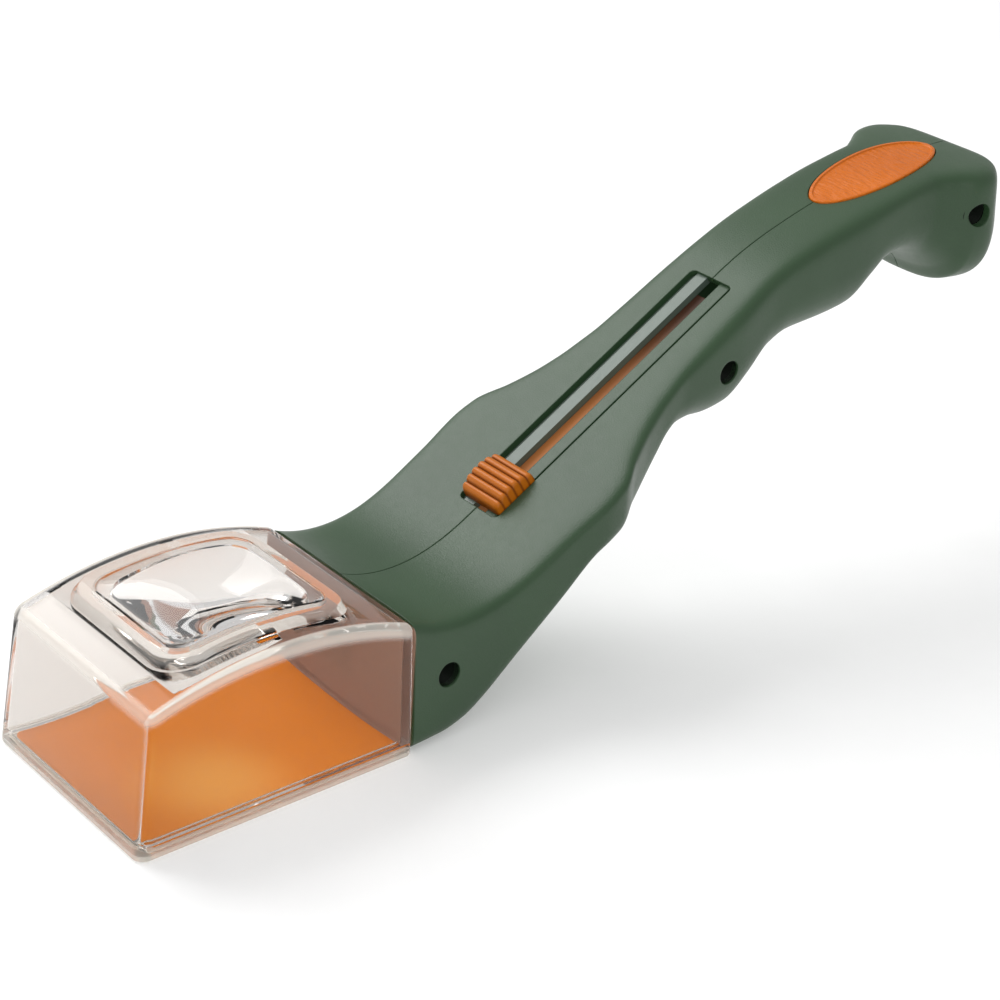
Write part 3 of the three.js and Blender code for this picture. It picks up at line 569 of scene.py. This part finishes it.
def makeHead():
    # A solid block with the frame round the lens joined on. The mouth, the trapdoor's groove, the
    # room with a bead above the groove, the lens's seat and its window are cut out, and the lug that
    # the shells clamp is joined to the rear.
    wall, grooveTop = head["wall"], head["ledge"] + head["groove"]
    made = headBlock("clearHead", 0, 0, edge=head["roofEdge"], foot=head["foot"], material=clearHead)
    # the frame round the lens: a small fillet at its foot, a leaning side, a quarter round at its top
    draft, rise, edge = lens["rimDraft"], lens["rimHeight"], lens["rimRound"]
    outline = [(-1.2, 0), (0.05, 0), (0.12, 0.25), (0.35, 0.55)]
    outline += [(rise - edge * (1 - math.sin(t)), draft + edge * (1 - math.cos(t)))
                for t in np.linspace(0, math.pi / 2, 6)]
    cut(made, roofBlock("rim", lens["length"] + 2 * lens["rim"], lens["width"] + 2 * lens["rim"],
                        lens["rimCorner"], outline), operation="UNION")
    cut(made,
        headBlock("mouth", wall + head["ledgeWidth"], -1, head["ledge"] + 0.1,
                  front=wall + head["frontLedge"], rear=head["rearWall"]),
        headBlock("groove", wall, head["ledge"], grooveTop, front=wall + head["grooveStop"], rear=-2),
        headBlock("aboveGroove", wall + head["beadWidth"], grooveTop - 0.2, grooveTop + 2, front=wall,
                  rear=head["rearWall"]),
        headBlock("chamber", wall, grooveTop + head["bead"], rear=head["rearWall"], dome=wall,
                  edge=head["roofInner"]),
        roofBlock("lensSeat", lens["length"] + 2 * lens["gap"], lens["width"] + 2 * lens["gap"],
                  lens["corner"], [(0, 0), (lens["rimHeight"] + 2, 0)]),
        roofBlock("window", lens["length"] - 2 * lens["seat"], lens["width"] - 2 * lens["seat"],
                  lens["corner"], [(-wall - 3, 0), (2, 0)]))
    neckEnd = handleFront + lug["neck"]
    cut(made,
        box("lugNeck", head["length"] - 1, neckEnd + 0.1, -lug["halfWidth"], lug["halfWidth"],
            lug["low"], lug["high"]),
        box("lugPlate", neckEnd, neckEnd + lug["thickness"], -lug["halfWidth"] - lug["lip"],
            lug["halfWidth"] + lug["lip"], lug["low"] - lug["lip"], lug["high"] + lug["lip"]),
        operation="UNION")
    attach(made, "handle")
    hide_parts("viewing_head")


def makeLens():
    # Rounded squares that grow from the middle of the lower dome out to the seat and the edge, and
    # shrink again over the upper dome.
    rings = []

    def addRing(scale, inset, base, rise):
        # the bulge falls with the square of the distance from the middle, along each axis
        halfLength, halfWidth = lens["length"] / 2 - inset, lens["width"] / 2 - inset
        flat = halfPlan(lens["centre"] - halfLength * scale, lens["centre"] + halfLength * scale,
                        halfWidth * scale, lens["corner"] * scale, lens["corner"] * scale)
        along = ((flat[:, 0] - lens["centre"]) / halfLength) ** 2
        across = (flat[:, 1] / halfWidth) ** 2
        bulge = rise * (1 - along) * (1 - across)
        rings.append(withHeight(flat, roofHeight(flat[:, 0]) + base + bulge))
    inset = lens["seat"] + lens["gap"]
    for scale in np.linspace(0.03, 1, 34):
        addRing(scale, inset, lens["lift"] - head["wall"], -lens["lowerDome"])
    addRing(1, inset, lens["gap"], 0)
    addRing(1, 0, lens["gap"], 0)
    addRing(1, 0, lens["edge"], 0)
    for scale in np.linspace(0.985, 0.03, 36):
        addRing(scale, 0, lens["edge"] + lens["gap"], lens["topDome"])
    made = closedSkin("magnifierLens", rings, clearLens, 40)
    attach(made, "handle")
    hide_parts("magnifier_lens")


makeHead()
makeLens()
print("head and lens made")

track = {
    "angle": math.radians(30.68), "start": 42.1, "height": 41.2, "length": 89.0, "halfWidth": 7.4,
    "corner": 1.6, "cut": 2.8, "railInner": 2.4, "railOuter": 6, "railReach": 10, "railTop": 1,
    "shelfDepth": 2, "shelf": 1, "endOverlap": 2,
}
slope = math.tan(track["angle"])
lineTail = track["start"] + track["length"] * math.cos(track["angle"]) + 2
lineTailHeight = track["height"] + (lineTail - track["start"]) * slope
handle = {"length": lineTail + 95.8, "wall": 2.2, "seam": 0.12, "front": 2.2, "pommelWall": 5.7,
          "widest": 0.45}
sheetSlot = {"halfWidth": 28.3, "reach": 12}


def line(x):
    return track["height"] + (x - track["start"]) * slope


def behind(x, rise, *more):
    return (lineTail + x, lineTailHeight + rise, *more)


topOf = hermite([
    (0, head["shoulder"] - 0.3, -0.42), (track["start"] - 3, line(track["start"] - 3), slope),
    (lineTail, lineTailHeight, slope), behind(18.7, 8.4, 0.34), behind(56.7, 18.4, 0.2),
    behind(84, 21.1, 0), behind(91, 18, -0.9), behind(95.8, 9.5, -3)])
bottomOf = fair([
    (0, 0.3), (10, 0.3), (16.5, 1.5), (23, 5), (33.3, 13.1), (47.3, 24.5), (57.5, 33.9),
    behind(-52.5, -50.8), behind(-44.5, -48.1), behind(-36.5, -41.6), behind(-31.5, -36),
    behind(-27.5, -33.8), behind(-21.5, -33.4), behind(-13.5, -34.3), behind(-7.5, -33.8),
    behind(-0.5, -28.9), behind(6.5, -21.7), behind(15, -18), behind(28.5, -16.8),
    behind(36.5, -15.4), behind(42.5, -10.1), behind(48.5, -4.9), behind(56.5, -3.1),
    behind(64.5, -5.7), behind(71, -10.6), behind(74.5, -14.8), behind(79.5, -14.9),
    behind(84.5, -12.4), behind(89, -8.5), behind(92.5, -4.2), behind(95.8, 3)])
halfWidthOf = fair([
    (0, 30.9), (15.3, 30.6), (29.3, 30.3), (47.3, 30.3), (58.3, 30.8), (64.3, 30),
    (lineTail - 48.5, 25.3), (lineTail - 40.5, 21.5), (lineTail - 32.5, 19), (lineTail - 24.5, 17.7),
    (lineTail - 7.5, 17.3), (lineTail + 7.5, 16.2), (lineTail + 23.5, 16.9), (lineTail + 40.5, 17.6),
    (lineTail + 54.5, 17.4), (lineTail + 62.5, 17.6), (lineTail + 68.5, 20.5), (lineTail + 74.5, 24.3),
    (lineTail + 80, 25.6), (lineTail + 84.5, 23.8), (lineTail + 89, 19.6), (lineTail + 92.5, 13.5),
    (lineTail + 95.8, 3.5)])
topPowerOf = fair([
    (0, 14), (24, 14), (48, 13), (64, 12), (84, 10), (lineTail - 10, 8.5), (lineTail + 45, 8),
    (lineTail + 66, 8), (lineTail + 80, 9), (handle["length"], 4)])
bottomPowerOf = fair([
    (0, 14), (18, 8), (33, 5.5), (54, 4), (73, 3), (94, 2.6), (lineTail + 60, 2.5),
    (lineTail + 76, 2.6), (handle["length"], 2.4)])
leanOf = fair([
    (0, head["sideLean"] / 31.2), (50, 0.01), (70, 0), (lineTail + 72, 0.02), (lineTail + 84.5, 0.15),
    (lineTail + 89, 0.3), (handle["length"], 0.5)])


def sections(x, wall, turns):
    # Half cross-sections: y = half width * sin(turn) to the power 2/n and z = middle + reach *
    # cos(turn) to the power 2/n, with its own n above and below the widest height.
    def thick(curve):
        # measured across the curve's slope, but at most twice the wall
        return wall * np.minimum(np.hypot(1, curve(x + 0.5) - curve(x - 0.5)), 2)
    top, bottom = topOf(x) - thick(topOf), bottomOf(x) + thick(bottomOf)
    halfWidth = halfWidthOf(x) - thick(halfWidthOf)
    centre = top - handle["widest"] * (top - bottom)
    c, s = np.cos(turns)[None, :], np.sin(turns)[None, :]
    above = c >= 0
    power = np.where(above, 2 / topPowerOf(x)[:, None], 2 / bottomPowerOf(x)[:, None])
    reach = np.where(above, (top - centre)[:, None], (centre - bottom)[:, None])
    z = centre[:, None] + reach * np.sign(c) * np.abs(c) ** power
    lean = 1 - leanOf(x)[:, None] * (z - bottom[:, None]) / (top - bottom)[:, None]
    y = halfWidth[:, None] * lean * np.abs(s) ** power
    return y, z


def powerTurns(count, power):
    # Angles whose points are spread evenly along a superellipse with that power.
    fine = np.linspace(0, np.pi, 4001)
    c = np.abs(np.cos(fine)) ** (2 / power) * np.sign(np.cos(fine))
    s = np.sin(fine).clip(0) ** (2 / power)
    run = np.concatenate([[0], np.cumsum(np.hypot(np.diff(c), np.diff(s)))])
    return np.interp(np.linspace(0, run[-1], count), run, fine)


def halfShell(name, side, wall, seam, x, count, material=None):
    # One side of the handle as a closed solid: sections from the seam's top round to its bottom.
    rows = []
    for station in x:  # each section has its own spread of points, so corners stay even
        turns = powerTurns(count, float((topPowerOf(station) + bottomPowerOf(station)) / 2))
        y, z = sections(np.array([station]), wall, turns)
        rows.append(np.column_stack([np.full(count, station + handleFront),
                                     side * np.maximum(y[0], seam), z[0]]))
        if seam < 0:
            rows[-1][[0, -1], 1] = side * seam
    return tube(name, rows, material)


def stationsTo(end, pitch):
    # even stations up to the pommel, then ones that crowd towards its rounded end
    fineFrom = min(lineTail + 62, end - 8)
    coarse = np.arange(0, fineFrom, pitch)
    share = np.linspace(0, 1, int((end - fineFrom) / pitch * 2.4))
    return np.concatenate([coarse, fineFrom + (end - fineFrom) * share * (1.55 - 0.55 * share)])


def onTrack(points):
    # u runs up the slope, y across, n off the surface
    u, y, n = np.moveaxis(np.asarray(points, float), -1, 0)
    c, s = math.cos(track["angle"]), math.sin(track["angle"])
    x, z = handleFront + track["start"] + u * c - n * s, track["height"] + u * s + n * c
    return np.stack([x, y, z], axis=-1)


def trackPrism(name, u0, u1, halfWidth, corner, n0, n1):
    # a rounded rectangle on the slope, carried square to it
    flat = halfPlan(u0, u1, halfWidth, corner, corner, 8, 10)
    return closedSkin(name, onTrack([withHeight(flat, n) for n in (n0, n1)]))


def rod(name, radius, x, z, y0, y1, material=None):
    # A round rod along Y.
    turn = np.linspace(0, 2 * np.pi, 48, endpoint=False)
    circle = np.column_stack([handleFront + x + radius * np.cos(turn), z + radius * np.sin(turn)])
    return tube(name, [np.insert(circle, 1, y, axis=1) for y in (y0, y1)], material)


badge = {
    "halfLength": 22.3, "halfWidth": 9.75, "centre": 56.4, "thickness": 1.2, "proud": 0.35,
    "rim": 1.0, "recess": 0.35, "gap": 0.3, "pocket": 1.15,
}
# each screw: place behind the handle's front, height, depth of its bore, start of its well
screws = [
    (10.7, 18.2, 12, 0.8), (*behind(-10.3, -19.5), 7, 0.8), (*behind(75.2, 9), 9, 2.2),
]
screwHole = {"radius": 3.3, "wellRadius": 4.5, "wellEnd": -0.15}


def topSurface(x, y):
    # the upper part of the section's superellipse, solved for its height
    reach = handle["widest"] * (topOf(x) - bottomOf(x))
    power = topPowerOf(x)
    share = np.minimum(np.abs(y) / halfWidthOf(x), 0.98)
    return topOf(x) - reach * (1 - (1 - share ** power) ** (1 / power))


def ovalStack(name, halfLength, halfWidth, levels, material=None):
    # Ovals (scale, inset, height) that follow the top of the tail.
    turn = np.linspace(0, np.pi, 96)
    rings = []
    for scale, inset, height in levels:
        x = lineTail + badge["centre"] - (halfLength - inset) * scale * np.cos(turn)
        y = -(halfWidth - inset) * scale * np.sin(turn)
        y[[0, -1]] = 0
        rings.append(np.column_stack([x + handleFront, y, topSurface(x, y) + height]))
    return closedSkin(name, rings, material, 40)


def skinDepth(x, z):
    # distance of the handle's side from the middle plane at a height
    turns = np.linspace(0, np.pi, 600)
    y, heights = sections(np.array([x]), 0, turns)
    return float(y[0][np.argmin(np.abs(heights[0] - z))])


def makeShell(side, name, node):
    # Half the handle, less its hollow, the slider's slot, the lug's window, the sheet's way in, the
    # badge's pocket and, in the near half, the screws' bores.
    made = halfShell(name, side, 0, handle["seam"], stationsTo(handle["length"], 0.8), 130, green)
    inner = stationsTo(handle["length"] - handle["pommelWall"], 2.0)
    hollow = halfShell("hollow", side, handle["wall"], -1, inner[inner >= handle["front"]], 60)
    loose = lug["gap"]
    cutters = [
        hollow,
        trackPrism("slot", 0, track["length"], track["halfWidth"], track["corner"], -track["cut"], 8),
        box("lugWindow", handleFront - 1, handleFront + handle["front"] + 0.1,
            -lug["halfWidth"] - loose, lug["halfWidth"] + loose, lug["low"] - loose,
            lug["high"] + loose),
        box("sheetWay", handleFront - 1, handleFront + sheetSlot["reach"], -sheetSlot["halfWidth"],
            sheetSlot["halfWidth"], head["ledge"], head["ledge"] + head["groove"]),
        ovalStack("badgePocket", badge["halfLength"] + badge["gap"], badge["halfWidth"] + badge["gap"],
                  [(scale, 0, -badge["pocket"]) for scale in (0.05, 0.5, 1)]
                  + [(scale, 0, 3) for scale in (1, 0.5, 0.05)]),
    ]
    if side < 0:
        for x, z, depth, _ in screws:
            cutters.append(rod("bore", screwHole["radius"], x, z, -60, depth - skinDepth(x, z)))
    for cutter in cutters:
        cut(made, cutter)
    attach(made, "handle")
    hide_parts(node)


def makeRails():
    # The two rails beside the gap: an L profile carried up the slope. The far rail has a lighter copy
    # of the green: painted light.
    for side, name in ((1, "railLeft"), (-1, "railRight")):
        inner, outer, reach = track["railInner"], track["railOuter"], track["railReach"]
        top, step = -track["railTop"], -track["shelfDepth"]
        low = step - track["shelf"]
        profile = np.array([
            [inner, low], [reach, low], [reach, step], [outer, step], [outer, top], [inner, top]])
        rings = [np.column_stack([np.full(6, u), side * profile[:, 0], profile[:, 1]]) for u in
                 np.linspace(-track["endOverlap"], track["length"] + track["endOverlap"], 30)]
        made = tube(name, onTrack(rings), farRailPaintedLight if side > 0 else green)
        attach(made, "handle")


def makeScrewWells():
    # Round walls of the screw holes, inside the near shell. They are near black: painted shade in the
    # holes.
    for number, (x, z, depth, start) in enumerate(screws):
        skin = -skinDepth(x, z)
        made = rod(f"screwWell{number + 1}", screwHole["wellRadius"], x, z, skin + start,
                   screwHole["wellEnd"], wellPaintedShade)
        cut(made, rod("wellBore", screwHole["radius"], x, z, skin - 3, skin + depth))
        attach(made, "handle")


makeShell(1, "handleShellLeft", "handle_shell_left")
makeShell(-1, "handleShellRight", "handle_shell_right")
makeRails()
makeScrewWells()
print("handle made")


def makeBadge():
    # the underside, the side with a small round edge, the raised rim, and the sunk face inside it
    under, face = badge["proud"] - badge["thickness"], badge["proud"] - badge["recess"]
    levels = [(s, 0, under) for s in np.linspace(0.03, 1, 14)]
    levels += [(1, 0, badge["proud"] - 0.25), (1, 0.06, badge["proud"] - 0.1), (1, 0.2, badge["proud"])]
    levels += [(1, badge["rim"] - 0.1, badge["proud"]), (1, badge["rim"] + 0.1, face + 0.06),
               (1, badge["rim"] + 0.25, face)]
    levels += [(s, badge["rim"], face) for s in np.linspace(0.95, 0.03, 22)]
    made = ovalStack("badgeOval", badge["halfLength"], badge["halfWidth"], levels, badgeOrange)
    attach(made, "handle")
    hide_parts("badge_oval")


makeBadge()

door = {
    "thickness": 0.8, "front": 4.2, "halfWidth": 27.8, "corner": 2.4, "tongue": 4.2,
    "pathStart": 0.8, "narrowFrom": 1.4, "taper": 15, "play": 0.3, "meetsTrack": 2.2, "tailGap": 4,
}
door["middle"] = head["ledge"] + door["play"] + door["thickness"] / 2


def sheetPath(s):
    # Along the floor, up on one arc, back on a second of the same radius, then below the track.
    angle = track["angle"]
    depth = track["shelfDepth"] + track["shelf"] + door["play"] + door["thickness"] / 2
    x0, z0 = door["pathStart"], door["middle"]
    x1 = track["start"] + door["meetsTrack"]
    z1 = line(x1) - depth / math.cos(angle)
    ratio = (x1 - x0) / (z1 - z0)
    wanted = ratio * (1 + math.cos(angle)) + math.sin(angle)
    steep = math.pi - math.asin(wanted / (2 * math.hypot(1, ratio))) - math.atan(ratio)
    radius = (x1 - x0) / (2 * math.sin(steep) - math.sin(angle))
    rise, fall = radius * steep, radius * (steep - angle)
    turn = np.where(s <= rise, s / radius, steep - (s - rise) / radius)
    along = s - rise - fall
    x = np.select(
        [s <= 0, s <= rise, s <= rise + fall],
        [x0 + s, x0 + radius * np.sin(turn), x0 + radius * (2 * math.sin(steep) - np.sin(turn))],
        x1 + along * math.cos(angle))
    z = np.select(
        [s <= 0, s <= rise, s <= rise + fall],
        [z0 + 0 * s, z0 + radius * (1 - np.cos(turn)),
         z0 + radius * (1 - 2 * math.cos(steep) + np.cos(turn))],
        z1 + along * math.sin(angle))
    bend = np.select([s <= 0, s <= rise + fall], [0 * s, turn], angle)
    end = rise + fall + (lineTail - door["tailGap"] - x1) / math.cos(angle)
    return x, z, bend, end


def sheetBand(name, stations, halfWidths, material):
    # A band of even thickness along the sheet's path, as a closed strip of four-cornered rings.
    x, z, bend, _ = sheetPath(stations)
    t = door["thickness"] / 2
    corners = []
    for d, edge in ((t, 1), (-t, 1), (-t, -1), (t, -1)):
        corners.append(np.column_stack([
            handleFront + x - d * np.sin(bend), -edge * halfWidths, z + d * np.cos(bend)]))
    return tube(name, np.stack(corners, axis=1), material)


def makeTrapdoor():
    # The panel's front corners are quarter arcs, and the tongue's width eases down over its taper.
    front = door["front"] - handleFront - door["pathStart"]
    turn = np.linspace(0, np.pi / 2, 10)
    corner = front + door["corner"] * (1 - np.cos(turn))
    stations = np.concatenate([corner, np.linspace(front + door["corner"] + 1, -0.2, 60)])
    inset = np.clip((front + door["corner"] - stations) / door["corner"], 0, 1)
    widths = door["halfWidth"] - door["corner"] * (1 - np.sqrt(1 - inset ** 2))
    panel = sheetBand("trapdoorPanel", stations, widths, orangeSheet)
    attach(panel, "handle")
    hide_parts("trapdoor")
    anchor = toFrame([handleFront + 0.5, 0, door["middle"]])
    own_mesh(panel)
    end = float(sheetPath(np.array([0.0]))[3])
    stations = np.linspace(0, end, 260)
    share = np.clip((stations - door["narrowFrom"]) / door["taper"], 0, 1)
    share = share * share * (3 - 2 * share)
    widths = door["halfWidth"] + (door["tongue"] - door["halfWidth"]) * share
    tongue = sheetBand("trapdoorTongue", stations, widths, tongueOrangePaintedShade)
    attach(tongue, "handle")


makeTrapdoor()
print("trapdoor made")

slider = {
    "length": 13.6, "start": 1.3, "halfWidth": 7.1, "dome": 4.3, "endHeight": 1.7, "ribs": 6,
    "ribDepth": 1.05, "ribPower": 0.55, "edge": 0.9, "base": -0.7, "corner": 1.2, "endEdge": 0.5,
    "endFall": 0.4, "stem": 2.0, "stemFrom": 2.8, "stemTo": 10.8, "stemFoot": -3, "stemTop": 0.2,
}


def makeSlider():
    # A dome over the slot: height is a circle's arc along u, with grooves between six ribs, and falls
    # away over a small round edge. Its four corners are quarter arcs.
    length, halfWidth = slider["length"], slider["halfWidth"]
    rise = slider["dome"] - slider["endHeight"]
    radius = (rise ** 2 + (length / 2) ** 2) / (2 * rise)
    u = np.linspace(0, length, 241)
    v = np.linspace(-1, 1, 81)
    U, V = np.meshgrid(u, v, indexing="ij")
    dome = slider["dome"] - radius + np.sqrt(radius ** 2 - (U - length / 2) ** 2)
    wave = np.abs(np.sin(np.pi * slider["ribs"] * U / length)) ** slider["ribPower"]
    edge = np.clip(1 - (1 - np.abs(V)) * halfWidth / slider["edge"], 0, 1)
    ends = np.clip(1 - np.minimum(U, length - U) / slider["endEdge"], 0, 1)
    fall = (slider["edge"] * (1 - np.sqrt(1 - edge ** 2))
            + slider["endFall"] * (1 - np.sqrt(1 - ends ** 2)))
    N = dome - slider["ribDepth"] * (1 - wave) - fall
    nearEnd = np.clip(1 - np.minimum(U, length - U) / slider["corner"], 0, 1)
    across = halfWidth - slider["corner"] * (1 - np.sqrt(1 - nearEnd ** 2))
    top = np.stack([U + slider["start"], V * across, N], axis=-1)
    flat = top.copy()
    flat[..., 2] = slider["base"]
    rows, cols = U.shape
    index = np.arange(rows * cols).reshape(rows, cols)
    quads = np.stack([index[:-1, :-1], index[1:, :-1], index[1:, 1:], index[:-1, 1:]], axis=-1)
    quads = quads.reshape(-1, 4)
    under = quads[:, ::-1] + rows * cols
    loop = np.concatenate([index[:, 0], index[-1, 1:], index[-2::-1, -1], index[0, -2:0:-1]])
    onward = np.roll(loop, -1)
    walls = np.stack([loop, loop + rows * cols, onward + rows * cols, onward], axis=-1)
    points = onTrack(np.concatenate([top.reshape(-1, 3), flat.reshape(-1, 3)]))
    faces = quads.tolist() + under.tolist() + walls.tolist()
    made = meshObject("thumbSlider", points, faces, orange)
    stemStart, stemEnd = (slider["start"] + slider[k] for k in ("stemFrom", "stemTo"))
    stem = box("stem", stemStart, stemEnd, -slider["stem"], slider["stem"], slider["stemFoot"],
               slider["stemTop"], onTrack)
    cut(made, stem, operation="UNION")
    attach(made, "slider")
    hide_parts("thumb_slider")


trackStart = toFrame(onTrack([slider["start"], 0, 0]))
ribStart = float(trackStart[0] * math.cos(track["angle"]) + trackStart[2] * math.sin(track["angle"]))
ribPitch = slider["length"] / slider["ribs"] / 1000
addGrooveShade(orange, ribPitch, ribStart, track["angle"], (0.22, 0.05, 0.001))
makeSlider()
for node, material in (("tongue_clamp", orange), ("clamp_screw", steel), ("handle_screw_front", steel),
                       ("handle_screw_middle", steel), ("handle_screw_rear", steel)):
    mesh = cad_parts[node].data
    mesh.materials.clear()
    mesh.materials.append(material)
print("slider and fastenings made")

camera = {
    "azimuth": 41.95, "elevation": 27.84, "roll": 4.16, "place": (-233.49, -401.55, 326.14),
    "lens": 86.75,
}


def makeCamera():
    # its axes from azimuth and elevation, then turned about its own line of sight
    a, e, r = (math.radians(camera[k]) for k in ("azimuth", "elevation", "roll"))
    forward = Vector((math.sin(a) * math.cos(e), math.cos(a) * math.cos(e), -math.sin(e)))
    right = Vector((math.cos(a), -math.sin(a), 0))
    up = right.cross(forward)
    right2 = math.cos(r) * right + math.sin(r) * up
    up2 = -math.sin(r) * right + math.cos(r) * up
    data = bpy.data.cameras.new("camera")
    data.lens = camera["lens"]
    data.sensor_width = 36
    data.clip_start = 0.01
    made = bpy.data.objects.new("camera", data)
    turn = Matrix((right2, up2, -forward)).transposed().to_4x4()
    made.matrix_world = Matrix.Translation(Vector(toFrame(camera["place"]))) @ turn
    bpy.context.scene.collection.objects.link(made)
    bpy.context.scene.camera = made


studio = {
    "glow": 0.04,  # of the floor, as on a light table, which keeps the shadows soft
    "sky": 0.64,  # its strength as a light; the backdrop itself stays white
    "bounces": 24,  # light runs on inside the thick clear edges
    "target": (0, 0, 0.05),
}
lights = {  # place, size, power, and whether it throws a shadow
    "key": ((-0.2, 0.75, 0.85), 0.7, 6.8, True),
    "clear": ((-0.2, 0.75, 0.85), 0.85, 3.3, False),  # reaches into the head
    "fill": ((-0.75, -0.95, 0.5), 0.8, 3.4, False),
}


def makeFloor():
    material, nodes, links, shader, place = newMaterial("pale floor")
    grain = noise(nodes, links, place, 40, 4)
    links.new(ramp(nodes, links, grain, [(0.3, (0.93, 0.93, 0.93)), (0.7, (0.95, 0.95, 0.95))]),
              shader.inputs["Base Color"])
    shader.inputs["Roughness"].default_value = 0.9
    shader.inputs["Specular IOR Level"].default_value = 0.1
    shader.inputs["Emission Color"].default_value = (1, 1, 1, 1)
    shader.inputs["Emission Strength"].default_value = studio["glow"]
    mesh = bpy.data.meshes.new("floor")
    reach, level = 6, -0.0002
    corners = [(x * reach, y * reach, level) for x, y in ((-1, -1), (1, -1), (1, 1), (-1, 1))]
    mesh.from_pydata(corners, [], [(0, 1, 2, 3)])
    mesh.materials.append(material)
    floor = bpy.data.objects.new("floor", mesh)
    bpy.context.scene.collection.objects.link(floor)


def areaLight(name, place, size, power, shadow):
    data = bpy.data.lights.new(name, "AREA")
    data.size = size
    data.energy = power
    data.use_shadow = shadow
    made = bpy.data.objects.new(name, data)
    made.location = place
    made.rotation_euler = (Vector(studio["target"]) - Vector(place)).to_track_quat("-Z", "Y").to_euler()
    bpy.context.scene.collection.objects.link(made)


def makeStudio():
    world = bpy.data.worlds.new("studio")
    world.use_nodes = True
    nodes, links = world.node_tree.nodes, world.node_tree.links
    nodes["Background"].inputs["Color"].default_value = (1, 1, 1, 1)
    path = nodes.new("ShaderNodeLightPath")
    strength = nodes.new("ShaderNodeMapRange")
    strength.inputs["To Min"].default_value = studio["sky"]
    strength.inputs["To Max"].default_value = 1.0
    links.new(path.outputs["Is Camera Ray"], strength.inputs["Value"])
    links.new(strength.outputs["Result"], nodes["Background"].inputs["Strength"])
    scene = bpy.context.scene
    scene.world = world
    scene.view_settings.view_transform = "Standard"  # product-photo white and full colours
    scene.cycles.max_bounces = studio["bounces"]
    scene.cycles.transmission_bounces = studio["bounces"]
    for name, (place, size, power, shadow) in lights.items():
        areaLight(name, place, size, power, shadow)


makeCamera()
makeFloor()
makeStudio()
print("studio made")
